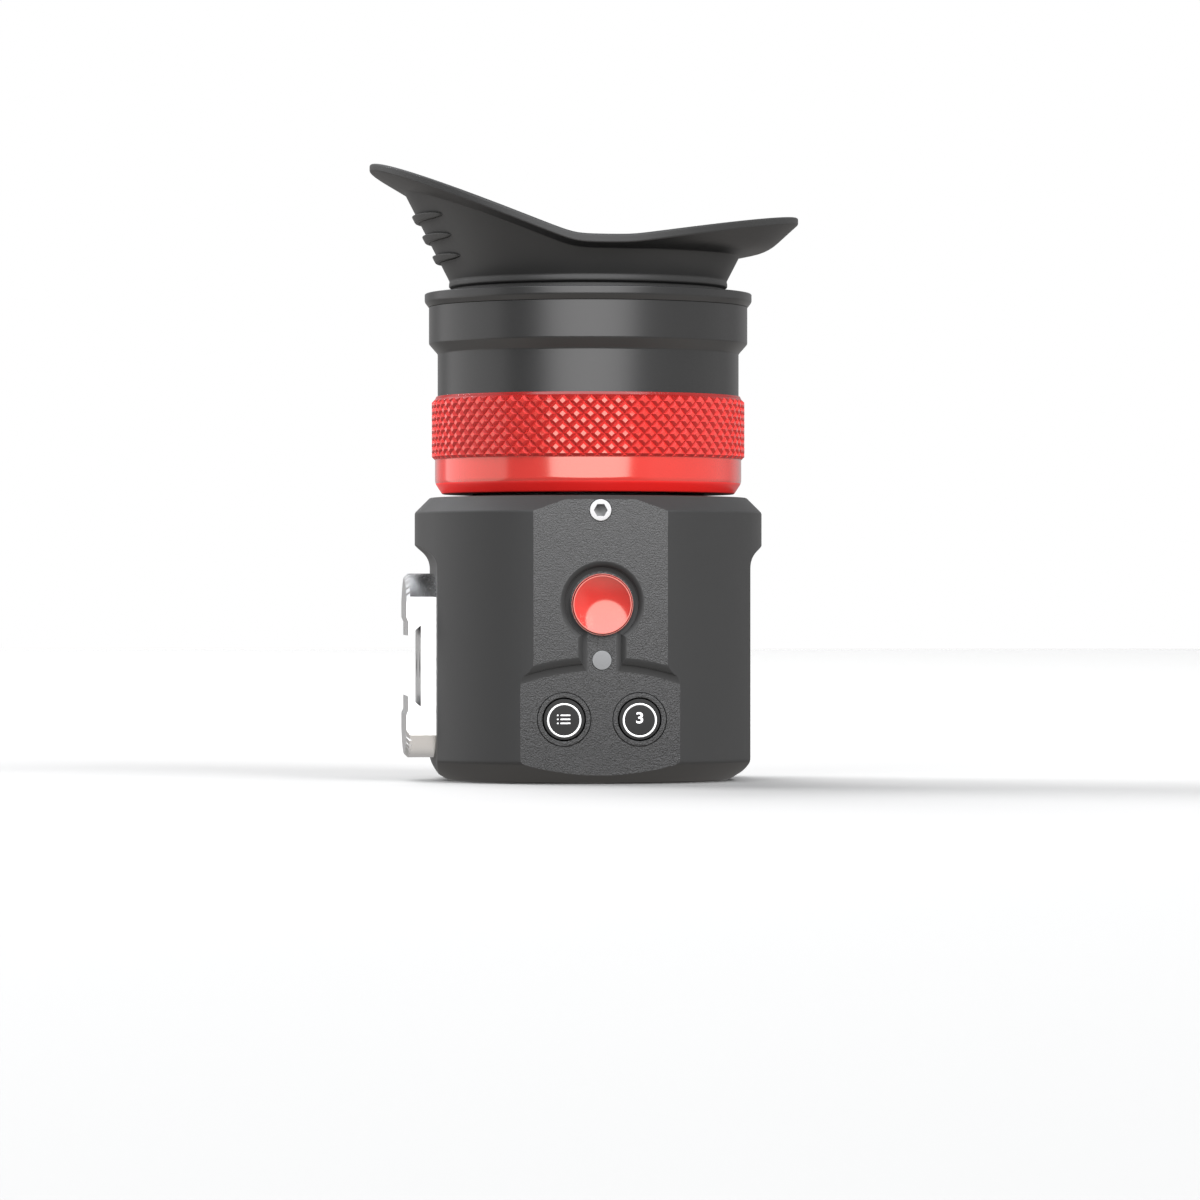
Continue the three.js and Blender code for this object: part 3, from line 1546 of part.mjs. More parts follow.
function contactInsert() {
  const disc = solidOf(rod(socketBore - fitGap, insertFace - insertThickness, insertFace, middleSides));
  const wells = Array.from({ length: contactCount }, (_, i) => {
    const angle = (i * 2 * Math.PI) / contactCount;
    const well = rod(contactRadius, insertFace - contactReach, insertFace + overrun, smallSides / 2);
    return solidOf(well.translate(contactCircle * Math.cos(angle), contactCircle * Math.sin(angle), 0));
  });
  return cut(disc, ...wells);
}

place("contact_insert", contactInsert(), darkPlastic(), backGroup, 0, socketHeight, 0);

export default part;
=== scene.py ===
# Electronic viewfinder standing on a pale floor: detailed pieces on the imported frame.
# Lengths below are millimetres, in the frame of the part: +Z up the optical axis, -Y the
# control face, -X the bracket. They become metres when a mesh is made.
import math

import bmesh
import bpy
from mathutils import Matrix, Vector


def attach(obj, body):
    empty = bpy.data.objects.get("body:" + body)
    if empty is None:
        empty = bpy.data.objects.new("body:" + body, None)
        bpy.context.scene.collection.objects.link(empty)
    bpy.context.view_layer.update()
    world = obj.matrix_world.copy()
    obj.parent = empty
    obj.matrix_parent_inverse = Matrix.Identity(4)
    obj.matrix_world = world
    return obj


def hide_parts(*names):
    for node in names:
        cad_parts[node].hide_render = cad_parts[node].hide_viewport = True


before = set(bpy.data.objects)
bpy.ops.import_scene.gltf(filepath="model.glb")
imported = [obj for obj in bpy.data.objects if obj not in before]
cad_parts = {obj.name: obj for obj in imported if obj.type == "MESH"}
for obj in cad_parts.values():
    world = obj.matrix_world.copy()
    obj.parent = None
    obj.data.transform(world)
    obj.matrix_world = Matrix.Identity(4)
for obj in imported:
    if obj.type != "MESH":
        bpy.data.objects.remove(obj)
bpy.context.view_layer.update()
MM = 0.001
scene = bpy.context.scene

# Camera: level, turned a little to the left of the control face. It sees as far as VIEW_END metres
TURN = math.radians(4.5)
EYE_HEIGHT = 37.73
DISTANCE = 1137.0
ASIDE = 2.5
FOCAL = 162.0
SENSOR = 36.0
VIEW_END = 50

# Directions in which a turned or raised piece can look: its own z points out of that side
UPRIGHT = Matrix.Identity(4)
FRONT = Matrix(((1, 0, 0, 0), (0, 0, -1, 0), (0, 1, 0, 0), (0, 0, 0, 1)))
LEFT = Matrix(((0, 0, -1, 0), (-1, 0, 0, 0), (0, 1, 0, 0), (0, 0, 0, 1)))
BACK = Matrix(((-1, 0, 0, 0), (0, 0, 1, 0), (0, 1, 0, 0), (0, 0, 0, 1)))
DOWN = Matrix(((1, 0, 0, 0), (0, -1, 0, 0), (0, 0, -1, 0), (0, 0, 0, 1)))


def at(side, u=0.0, v=0.0, w=0.0):
    """A place on one side of the housing: u to its right, v up, w out from the axis."""
    return side @ Matrix.Translation((u, v, w))


# Materials

COAT_ROUGHNESS = 0.1
LEAST_ROUGHNESS = 0.02
CLOUD_DETAIL = 4
GRAIN_DETAIL = 2
GLASS_INDEX = 1.5
GLASS_ROUGHNESS = 0.02
GLASS_SPECULAR = 0.12


def grey(level):
    """A neutral colour."""
    return (level, level, level)


def put(node, values):
    """Sets inputs of a node by their names."""
    for name, value in values.items():
        node.inputs[name].default_value = value


def relief(tree, place, shader, grain, grain_size, streak, axis):
    """Gives a finish its fine grain, drawn out along one axis where it is brushed."""
    new = tree.nodes.new
    link = tree.links.new
    fine = new("ShaderNodeTexNoise")
    put(fine, {"Scale": 1 / (grain_size * MM), "Detail": GRAIN_DETAIL})
    spot = place.outputs["Object"]
    if streak:
        stretch = new("ShaderNodeMapping")
        along = [1.0, 1.0, 1.0]
        along["XYZ".index(axis)] = 1 / (1 + streak)
        put(stretch, {"Scale": along})
        link(spot, stretch.inputs["Vector"])
        spot = stretch.outputs["Vector"]
    link(spot, fine.inputs["Vector"])
    bump = new("ShaderNodeBump")
    put(bump, {"Strength": 1.0, "Distance": grain * MM})
    link(fine.outputs["Fac"], bump.inputs["Height"])
    link(bump.outputs["Normal"], shader.inputs["Normal"])


def surface(
    name, color, roughness, metallic=0.0, grain=0.0, grain_size=0.3, mottle=0.05, mottle_size=6.0,
    streak=0.0, axis="Z", coat=0.0, specular=0.5, rough_change=0.0, tinted=(1.0, 1.0, 1.0), painted_shade_heights=None,
):
    """A material with its own fine relief, uneven polish and faint change of colour.

    The colour changes in clouds, or, as painted shade, grows lighter up the piece between two given heights,
    darker towards the bottom.
    """
    made = bpy.data.materials.new(name)
    made.use_nodes = True
    tree = made.node_tree
    new = tree.nodes.new
    link = tree.links.new
    shader = tree.nodes["Principled BSDF"]
    put(shader, {"Metallic": metallic, "Roughness": roughness})
    put(shader, {"Coat Weight": coat, "Coat Roughness": COAT_ROUGHNESS})
    put(shader, {"Specular IOR Level": specular, "Specular Tint": (*tinted, 1)})
    place = new("ShaderNodeTexCoord")
    cloud = new("ShaderNodeTexNoise")
    put(cloud, {"Scale": 1 / (mottle_size * MM), "Detail": CLOUD_DETAIL})
    link(place.outputs["Object"], cloud.inputs["Vector"])
    tint = new("ShaderNodeMix")
    tint.data_type = "RGBA"
    dark = [c * (1 - mottle) for c in color]
    light = [min(c * (1 + mottle), 1) for c in color]
    put(tint, {"A": [*dark, 1], "B": [*light, 1]})
    # Painted shade: the colour goes from dark at the lower height to light at the upper one
    if painted_shade_heights:
        split = new("ShaderNodeSeparateXYZ")
        level = new("ShaderNodeMapRange")
        put(level, {"From Min": painted_shade_heights[0] * MM, "From Max": painted_shade_heights[1] * MM})
        link(place.outputs["Object"], split.inputs["Vector"])
        link(split.outputs["Z"], level.inputs["Value"])
        link(level.outputs["Result"], tint.inputs["Factor"])
    else:
        link(cloud.outputs["Fac"], tint.inputs["Factor"])
    link(tint.outputs["Result"], shader.inputs["Base Color"])
    if rough_change:
        spread = new("ShaderNodeMapRange")
        least = max(roughness - rough_change, LEAST_ROUGHNESS)
        put(spread, {"To Min": least, "To Max": roughness + rough_change})
        link(cloud.outputs["Fac"], spread.inputs["Value"])
        link(spread.outputs["Result"], shader.inputs["Roughness"])
    if grain:
        relief(tree, place, shader, grain, grain_size, streak, axis)
    return made


def glass(name, color):
    """A clear material with faint reflections, so that a lens stays dark."""
    made = surface(name, color, GLASS_ROUGHNESS, grain=0.0004, grain_size=3.0, mottle=0.0)
    shader = made.node_tree.nodes["Principled BSDF"]
    put(shader, {"Transmission Weight": 1.0, "IOR": GLASS_INDEX, "Specular IOR Level": GLASS_SPECULAR})
    return made


RED = (0.205, 0.0073, 0.0058)
RED_SHINE = (1.0, 0.9, 0.7)
# Heights between which the grained paint goes from dark to light: painted shade, darker towards the bottom
PAINTED_SHADE_FOOT = 6
PAINTED_SHADE_TOP = 56

body_paint = surface(
    "body_paint", grey(0.0107), 0.46, grain=0.01, grain_size=0.34, mottle=0.04, specular=0.36
)
# Grained paint for the control side, whose colour carries painted shade, darker towards the bottom
grained_paint_with_painted_shade = surface(
    "grained_paint_with_painted_shade", grey(0.0080), 0.42, grain=0.26, grain_size=0.28, mottle=0.85, specular=0.85,
    painted_shade_heights=(PAINTED_SHADE_FOOT, PAINTED_SHADE_TOP),
)
black_anodised = surface("black_anodised", grey(0.03), 0.34, 0.2, grain=0.003, grain_size=0.2, mottle=0.06)
barrel_finish = surface(
    "barrel_finish", grey(0.0055), 0.31, grain=0.003, grain_size=0.2, mottle=0.06, specular=0.72
)
red_anodised = surface("red_anodised", RED, 0.16, grain=0.0012, coat=1.0, specular=1.0, tinted=RED_SHINE)
joystick_red = surface(
    "joystick_red", RED, 0.14, grain=0.002, grain_size=0.22, mottle=0.06, coat=1.0, specular=1.0,
    tinted=RED_SHINE,
)
# A brighter red that paints light onto the ring's downward faces
red_painted_light_below = surface("red_painted_light_below", (0.31, 0.006, 0.005), 0.3, grain=0.0012, specular=0.4)
# A dark red that paints shade onto the side of the dish's rim
red_painted_shade_side = surface("red_painted_shade_side", (0.06, 0.002, 0.002), 0.5, grain=0.001, specular=0.15)
red_cut = surface("red_cut", (0.20, 0.0085, 0.007), 0.45, grain=0.0012, specular=0.4)
# A darker red that paints shade onto the ring's upward top faces
red_painted_shade_top = surface("red_painted_shade_top", (0.085, 0.0025, 0.002), 0.2, grain=0.001, specular=0.6)
nickel = surface(
    "nickel", grey(0.78), 0.26, 1.0, grain=0.04, grain_size=0.24, streak=3.0, axis="Y", mottle=0.04,
    rough_change=0.05,
)
# A dull dark grey that paints shade onto the bracket's undercut faces in its slot
nickel_painted_shade = surface("nickel_painted_shade", (0.06, 0.06, 0.061), 0.9, grain=0.02, mottle=0.1, specular=0.0)
# A dull grey that paints shade into the hexagon socket of the lock screw
socket_painted_shade = surface("socket_painted_shade", (0.10, 0.10, 0.101), 0.7, grain=0.002, grain_size=0.2)
bright_steel = surface(
    "bright_steel", (0.33, 0.33, 0.335), 0.26, 1.0, grain=0.002, grain_size=0.12, rough_change=0.05
)
cup_rubber = surface(
    "cup_rubber", (0.0088, 0.0088, 0.0087), 0.46, grain=0.006, mottle=0.08, rough_change=0.04
)
button_plastic = surface(
    "button_plastic", grey(0.0075), 0.38, grain=0.002, grain_size=0.15, mottle=0.06, specular=0.15
)
print_ink = surface("print_ink", grey(0.42), 0.5, grain=0.002, grain_size=0.1, mottle=0.03)
status_lens = surface("status_lens", (0.067, 0.068, 0.0695), 0.4, grain=0.001, mottle=0.02)
inner_plastic = surface("inner_plastic", (0.03, 0.03, 0.032), 0.55, grain=0.006, mottle=0.08)
circuit_green = surface("circuit_green", (0.02, 0.11, 0.05), 0.4, grain=0.004, grain_size=0.5, mottle=0.25)
amber_film = surface("amber_film", (0.50, 0.22, 0.05), 0.35, grain=0.002, grain_size=1.0, mottle=0.1)
contact_gold = surface("contact_gold", (0.85, 0.58, 0.22), 0.25, 1.0, grain=0.001, grain_size=0.1)
display_black = surface(
    "display_black", (0.010, 0.010, 0.013), 0.12, grain=0.0005, grain_size=2.0, mottle=0.1
)
lens_glass = glass("lens_glass", (0.97, 0.985, 0.99))

# Shape tools

MOST_CUT = 0.49
ON_AXIS = 1e-6
WELD = 0.004
FLAT_WEIGHT = 100


def linked(name, mesh, material=None):
    """A new object of the scene, with the mesh as its shape."""
    made = bpy.data.objects.new(name, mesh)
    scene.collection.objects.link(made)
    if material:
        mesh.materials.append(material)
    return made


def solid(name, points, faces, material=None, place=UPRIGHT):
    """A mesh from points in millimetres, moved to its place on the part."""
    mesh = bpy.data.meshes.new(name)
    mesh.from_pydata([place @ Vector(p) * MM for p in points], [], faces)
    mesh.polygons.foreach_set("use_smooth", [True] * len(faces))
    mesh.update()
    return linked(name, mesh, material)


def rounded(points, cuts, steps):
    """The outline with each corner cut back by its length and rounded. A cut of 0 stays sharp."""
    made = []
    count = len(points)
    for i, (point, size) in enumerate(zip(points, cuts)):
        here = Vector(point)
        if not size:
            made.append(here)
            continue
        before = Vector(points[i - 1]) - here
        after = Vector(points[(i + 1) % count]) - here
        size = min(size, before.length * MOST_CUT, after.length * MOST_CUT)
        start = here + before.normalized() * size
        end = here + after.normalized() * size
        for k in range(steps + 1):
            t = k / steps
            made.append(start * (1 - t) ** 2 + here * 2 * t * (1 - t) + end * t**2)
    return made


def lathe(name, outline, sides=128, place=UPRIGHT, steps=3):
    """A closed turned piece from (radius, height, cut) corners, going up its outer wall."""
    cuts = [c[2] if len(c) > 2 else 0 for c in outline]
    line = rounded([c[:2] for c in outline], cuts, steps)
    points = []
    rows = []
    for p in line:
        if p.x < ON_AXIS:
            rows.append([len(points)] * sides)
            points.append((0, 0, p.y))
            continue
        rows.append(list(range(len(points), len(points) + sides)))
        for k in range(sides):
            a = 2 * math.pi * k / sides
            points.append((p.x * math.cos(a), p.x * math.sin(a), p.y))
    faces = []
    on_axis = [p.x < ON_AXIS for p in line]
    for i in range(len(rows)):
        j = (i + 1) % len(rows)
        if on_axis[i] and on_axis[j]:
            continue
        for k in range(sides):
            n = (k + 1) % sides
            quad = [rows[i][k], rows[i][n], rows[j][n], rows[j][k]]
            faces.append([v for m, v in enumerate(quad) if v not in quad[:m]])
    return solid(name, points, faces, place=place)


def prism(name, outline, low, high, material=None, place=UPRIGHT):
    """A flat outline raised from one height to another."""
    count = len(outline)
    points = [(p[0], p[1], low) for p in outline] + [(p[0], p[1], high) for p in outline]
    faces = [list(range(count))[::-1], list(range(count, 2 * count))]
    for i in range(count):
        j = (i + 1) % count
        faces.append([i, j, count + j, count + i])
    return solid(name, points, faces, material, place)


def ring_of(radius, count):
    """Points spaced evenly round a circle."""
    turns = [2 * math.pi * i / count for i in range(count)]
    return [(radius * math.cos(turn), radius * math.sin(turn)) for turn in turns]


def box(name, low, high, place=UPRIGHT, material=None):
    """A block between two opposite corners."""
    outline = [(low[0], low[1]), (high[0], low[1]), (high[0], high[1]), (low[0], high[1])]
    return prism(name, outline, low[2], high[2], material, place)


def applied(piece):
    """The piece with its modifiers worked into its mesh."""
    deps = bpy.context.evaluated_depsgraph_get()
    mesh = bpy.data.meshes.new_from_object(piece.evaluated_get(deps), depsgraph=deps)
    piece.modifiers.clear()
    old = piece.data
    piece.data = mesh
    bpy.data.meshes.remove(old)
    return piece


def carved(piece, tools, operation="DIFFERENCE"):
    """Cuts the tools out of the piece, or joins or crosses it with them, and removes them."""
    for tool in tools:
        step = piece.modifiers.new("carve", "BOOLEAN")
        step.operation = operation
        step.solver = "EXACT"
        step.object = tool
    applied(piece)
    for tool in tools:
        mesh = tool.data
        bpy.data.objects.remove(tool)
        bpy.data.meshes.remove(mesh)
    return piece


def welded(piece):
    """Joins the points of a mesh that all but touch."""
    made = bmesh.new()
    made.from_mesh(piece.data)
    bmesh.ops.remove_doubles(made, verts=made.verts, dist=WELD * MM)
    bmesh.ops.dissolve_degenerate(made, dist=WELD * MM, edges=made.edges)
    made.to_mesh(piece.data)
    made.free()
    return piece


def outward(piece):
    """Makes every face look out of the piece."""
    made = bmesh.new()
    made.from_mesh(piece.data)
    bmesh.ops.recalc_face_normals(made, faces=made.faces)
    made.to_mesh(piece.data)
    made.free()
    return piece


def softened(piece, width, angle=14, segments=2):
    """Rounds the sharp edges and keeps the flats flat."""
    edge = piece.modifiers.new("edge", "BEVEL")
    edge.width = width * MM
    edge.segments = segments
    edge.limit_method = "ANGLE"
    edge.angle_limit = math.radians(angle)
    edge.harden_normals = True
    edge.use_clamp_overlap = True
    return shaded(applied(piece))


def shaded(piece):
    """Shades the piece smoothly, led by its large faces."""
    piece.data.polygons.foreach_set("use_smooth", [True] * len(piece.data.polygons))
    even = piece.modifiers.new("even", "WEIGHTED_NORMAL")
    even.keep_sharp = True
    even.weight = FLAT_WEIGHT
    return piece


def creased(piece, angle):
    """Keeps the shading apart across every edge that turns by more than the angle."""
    made = bmesh.new()
    made.from_mesh(piece.data)
    for edge in made.edges:
        if len(edge.link_faces) != 2 or edge.calc_face_angle(0) > math.radians(angle):
            edge.smooth = False
    made.to_mesh(piece.data)
    made.free()
    return piece


def placed(piece, body, slot, *nodes, material=None):
    """Says which body the piece rides on and the CAD nodes that it stands for, and gives it the material if
    one is given; the slot is not used.
    """
    if material:
        piece.data.materials.clear()
        piece.data.materials.append(material)
    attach(piece, body)
    if nodes:
        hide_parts(*nodes)
    return piece


def shade_faces(piece, material, chosen):
    """Gives one more material to the faces picked by their middle, in millimetres, and their normal."""
    piece.data.materials.append(material)
    for face in piece.data.polygons:
        if chosen(face.center / MM, face.normal):
            face.material_index = len(piece.data.materials) - 1


# Housing

BODY_RADIUS = 36.5
BODY_TOP = 59.2
UPPER_PAD = 33.8
LOWER_PAD = 32.6
SIDE_FLAT = 32.6
PAD_HALF = 13.8
CONTROL_X = 0.35
JOYSTICK_Z = 36.8
STATUS_Z = 25.4
BUTTON_Z = 13.3
BUTTON_GAP = 7.75
SCREW_Z = 56.1
SOCKET_Z = 16.0
LEDGE_CENTRE = -27
LEDGE_FOOT = 50.0
LEDGE_EDGE = 53.4
RECESS_RISE = 0.25
RECESS_FOOT = 6.35
RECESS_EDGE = 8.65
CHANNEL_FOOT = 2.95
CHANNEL_EDGE = 5.05
CHANNEL_END = 16.0
ABOVE_PAD = UPPER_PAD + 3
FAR = 40.0

# The recesses' walls: points on each half, the share of the height that the foot and the crease
# reach, how hollow the foot and how round the edge is, and the width of the crease
WALL_STEPS = 7
FOOT_TOP = 0.3
CREASE_TOP = 0.5
FOOT_HOLLOW = 1.6
EDGE_ROUND = 1.7
CREASE_WIDTH = 0.06

# The grained faces of the control side: how squarely they look to the front, their reach and their
# depth below the lower pad
GRAINED_LOOK = -0.995
GRAINED_HALF = 17.5
GRAINED_DEPTH = 0.5


def eased_wall(foot, low, edge, high):
    """A wall with a hollow foot, a steep crease halfway and a rounded edge."""
    middle = (foot + edge) / 2
    shares = [i / WALL_STEPS for i in range(WALL_STEPS + 1)]
    line = []
    for t in shares:
        line.append((foot + (middle - foot) * t, low + (high - low) * FOOT_TOP * t**FOOT_HOLLOW))
    for t in shares:
        rise = CREASE_TOP + (1 - CREASE_TOP) * (1 - (1 - t) ** EDGE_ROUND)
        out = middle + CREASE_WIDTH + (edge - middle - CREASE_WIDTH) * t
        line.append((out, low + (high - low) * rise))
    return line


def housing():
    """The shell: a turned body with its flats, ledge, recesses and holes."""
    shell = lathe(
        "housing_shell",
        [(29.0, 1.2), (29.75, 1.2), (29.75, 0.3, 0.05), (30.1, 0.3, 0.1), (BODY_RADIUS, 4.2, 0.8),
         (BODY_RADIUS, 56.0, 0.35), (33.3, BODY_TOP, 0.35), (24.1, BODY_TOP, 0.25), (24.1, 52.3),
         (33.0, 52.3), (33.0, 48.0), (29.4, 44.0), (29.4, 3.2), (29.0, 3.2)],
        sides=192,
    )
    cutters = [box("cut_front", (-FAR, -5, UPPER_PAD), (FAR, 70, 45), FRONT)]
    ear = [(30.9, -5), (FAR, -5), (FAR, 51.8), (BODY_RADIUS, 49.35), (SIDE_FLAT, 46.6), (SIDE_FLAT, 3.3),
           (30.9, 0.2)]
    right = [tuple(p) for p in rounded(ear, [0, 0, 0, 0.9, 2.8, 1.5, 0.2], 8)]
    left = [(-x, y) for x, y in reversed(right)]
    for outline in (right, left):
        cutters.append(prism("cut_side", outline, -FAR, FAR, place=FRONT))
    top_cut = [(UPPER_PAD + 1, 57.28), (ABOVE_PAD, 57.28), (ABOVE_PAD, 61.5), (UPPER_PAD - 3.2, 61.5)]
    cutters.append(prism("cut_top", top_cut, -5, 5, place=LEFT))
    carved(shell, cutters)
    pad = prism(
        "pad_top",
        [(-PAD_HALF, 53), (PAD_HALF, 53), (PAD_HALF, 56.0), (7.2, 58.35), (-7.2, 58.35), (-PAD_HALF, 56.0)],
        30.5,
        UPPER_PAD,
        place=FRONT,
    )
    carved(shell, [pad], "UNION")
    wall = eased_wall(LEDGE_FOOT, LOWER_PAD, LEDGE_EDGE, UPPER_PAD)
    ledge = lathe(
        "cut_ledge",
        [(0, LOWER_PAD), *wall, (LEDGE_EDGE, ABOVE_PAD), (0, ABOVE_PAD)],
        sides=480,
        place=at(FRONT, 0, LEDGE_CENTRE),
    )
    wall = eased_wall(RECESS_FOOT, LOWER_PAD, RECESS_EDGE, UPPER_PAD)
    recess = lathe(
        "cut_recess",
        [(0, LOWER_PAD), *wall, (RECESS_EDGE, ABOVE_PAD), (0, ABOVE_PAD)],
        place=at(FRONT, CONTROL_X, JOYSTICK_Z + RECESS_RISE),
    )
    half = [*eased_wall(CHANNEL_FOOT, LOWER_PAD, CHANNEL_EDGE, UPPER_PAD), (CHANNEL_EDGE, ABOVE_PAD)]
    channel_outline = half + [(-x, y) for x, y in reversed(half)]
    channel = prism("cut_channel", channel_outline, -JOYSTICK_Z, -CHANNEL_END,
                    place=at(FRONT, CONTROL_X) @ Matrix.Rotation(math.pi / 2, 4, "X"))
    carved(recess, [channel], "UNION")
    joystick_well = hole(6.2, 28, FAR, at(FRONT, CONTROL_X, JOYSTICK_Z), 96)
    status_bore = hole(2.08, 28, FAR, at(FRONT, CONTROL_X, STATUS_Z), 64)
    screw_well = hole(2.35, UPPER_PAD - 2.4, FAR, at(FRONT, 0, SCREW_Z), 64)
    socket_bore = hole(5.3, 25, FAR, at(BACK, 0, SOCKET_Z), 64)
    socket_seat = hole(8.6, 34.4, FAR, at(BACK, 0, SOCKET_Z), 96)
    holes = [joystick_well, status_bore, screw_well, socket_bore, socket_seat]
    for x in (CONTROL_X - BUTTON_GAP, CONTROL_X + BUTTON_GAP):
        holes.append(hole(4.5, 28, FAR, at(FRONT, x, BUTTON_Z), 96))
        holes.append(hole(5.6, LOWER_PAD - 1.2, FAR, at(FRONT, x, BUTTON_Z), 96))
    carved(shell, [ledge, recess])
    carved(shell, holes)
    return shell


def hole(radius, low, high, place, sides):
    """A round cutter between two distances from the axis."""
    return prism("cut_hole", ring_of(radius, sides), low, high, place=place)


shell = housing()
welded(shell)
placed(softened(shell, 0.28, segments=3), "body", "body_black", "housing", material=body_paint)
# The control side's pads take the grained paint, with its painted shade darker towards the bottom
shade_faces(
    shell,
    grained_paint_with_painted_shade,
    lambda middle, way: way.y < GRAINED_LOOK
    and middle.y < -LOWER_PAD + GRAINED_DEPTH
    and abs(middle.x) < GRAINED_HALF,
)

# Screws, with hexagon sockets: half their width, their depth, and their point by their radius

HEX_HALF = 1.2
HEX_DEPTH = 1.3
DRILL_POINT = 0.3
COVER_SCREWS = 4
COVER_CIRCLE = 24.6
COVER_SCREW_LENGTH = 6.9
PLATE_SCREW_LENGTH = 5.9


def hex_socket(face, place):
    """The cutter of a hexagon socket that ends in a drill point, below a screw's face."""
    low, high = face - HEX_DEPTH, face + 1
    radius = HEX_HALF / math.cos(math.pi / 6)
    rim = ring_of(radius, 6)
    points = [(0, 0, low - radius * DRILL_POINT)]
    points += [(x, y, low) for x, y in rim]
    points += [(x, y, high) for x, y in rim]
    faces = [list(range(7, 13))]
    for i in range(6):
        n = (i + 1) % 6
        faces += [[0, n + 1, i + 1], [i + 1, n + 1, n + 7, i + 7]]
    return outward(solid("cut_hex", points, faces, place=place))


def countersunk_screw(name, length, place):
    """A countersunk screw with its face at its place, pointing down from there."""
    shank = [(0, -length), (1.2, -length), (1.5, -length + 0.4)]
    head = [(1.5, -1.6), (2.8, -0.1, 0.05), (2.7, 0, 0), (0, 0)]
    screw = lathe(name, shank + head, sides=64, place=place)
    carved(screw, [hex_socket(0, place)])
    return softened(screw, 0.06, angle=25)


def cover_spot(i):
    """The place of one of the bottom cover's screws."""
    angle = math.pi / 4 + i * math.pi / 2
    return Matrix.Rotation(angle, 4, "Z") @ Matrix.Translation((COVER_CIRCLE, 0, 0))


for i in range(COVER_SCREWS):
    screw = countersunk_screw(f"cover_screw_{i + 1}", COVER_SCREW_LENGTH, cover_spot(i) @ DOWN)
    placed(screw, "body", "screw_steel", f"base_screw_{i + 1}", material=bright_steel)

cover = lathe(
    "bottom_cover",
    [(0, 0), (29.6, 0, 0.3), (29.6, 1.1, 0.1), (28.9, 1.1), (28.9, 3.0, 0.2), (0, 3.0)],
    sides=160,
)
sink = [(0, -1), (3.9, -1), (1.65, 1.65), (1.65, 4), (0, 4)]
carved(cover, [lathe("cut_sink", sink, sides=64, place=cover_spot(i)) for i in range(COVER_SCREWS)])
placed(softened(cover, 0.1, angle=25), "body", "body_black", "base_cover", material=black_anodised)


def lock_screw():
    """The socket-head screw above the joystick."""
    place = at(FRONT, 0, SCREW_Z)
    screw = lathe(
        "lock_screw",
        [(0, 25), (1.25, 25), (1.25, 31.5), (2.28, 31.5), (2.28, UPPER_PAD, 0.16), (0, UPPER_PAD)],
        sides=96,
        place=place,
        steps=5,
    )
    carved(screw, [hex_socket(UPPER_PAD, place)])
    return softened(screw, 0.05, angle=25)


clamp_screw = lock_screw()
placed(clamp_screw, "body", "screw_steel", "sleeve_lock_screw", material=bright_steel)
# Painted shade inside the hexagon socket
shade_faces(
    clamp_screw,
    socket_painted_shade,
    lambda middle, way: middle.y > -UPPER_PAD + 0.15 and abs(middle.x) < 1.35,
)

# Dovetail bracket

BRACKET_RADIUS = 19.3
BRACKET_HALF = 12.9
BRACKET_Z = 24.0
BRACKET_FACE = 38.8
LIP_FACE = 38.4
SLOT_FLOOR = 35.8
SLOT_HALF = 8.5
SLOT_MOUTH = 4.64
LIP_HALF = 9.2
STEP_HALF = 10.4
PLATE_SCREWS = (-7, 7)
RIM_CUT = 0.75
SCALLOP_PITCH = math.radians(6.2)
SCALLOPS = 13
SCALLOP_REACH = 1.5
SCALLOP_HALF = 0.62
SCALLOP_RISE = 0.45
SCALLOP_DEPTH = 0.42

# The plate's faces in painted shade: how far they look to the right and up or down, and their reach
SHADE_RIGHT = 0.08
SHADE_TILT = 0.12
SHADE_HALF = 8.9


def scallops():
    """The small notches across the bracket's rim, as one cutter."""
    points = []
    faces = []
    slope = math.sqrt(0.5)
    profile = ((-SCALLOP_HALF, SCALLOP_RISE), (SCALLOP_HALF, SCALLOP_RISE), (0, -SCALLOP_DEPTH))
    for side in (1, -1):
        for i in range(SCALLOPS):
            angle = side * math.pi / 2 + (i - SCALLOPS // 2) * SCALLOP_PITCH
            turn = Matrix.Rotation(angle, 3, "Z")
            a = len(points)
            for along in (-SCALLOP_REACH, SCALLOP_REACH):
                for across, up in profile:
                    radius = BRACKET_RADIUS - RIM_CUT / 2 + (along + up) * slope
                    height = BRACKET_FACE - RIM_CUT / 2 + (up - along) * slope
                    points.append(tuple(turn @ Vector((radius, across, height))))
            faces += [(a, a + 2, a + 1), (a + 3, a + 4, a + 5)]
            faces += [(a, a + 1, a + 4, a + 3), (a + 1, a + 2, a + 5, a + 4), (a + 2, a, a + 3, a + 5)]
    return outward(solid("cut_scallops", points, faces, place=at(LEFT, 0, BRACKET_Z)))


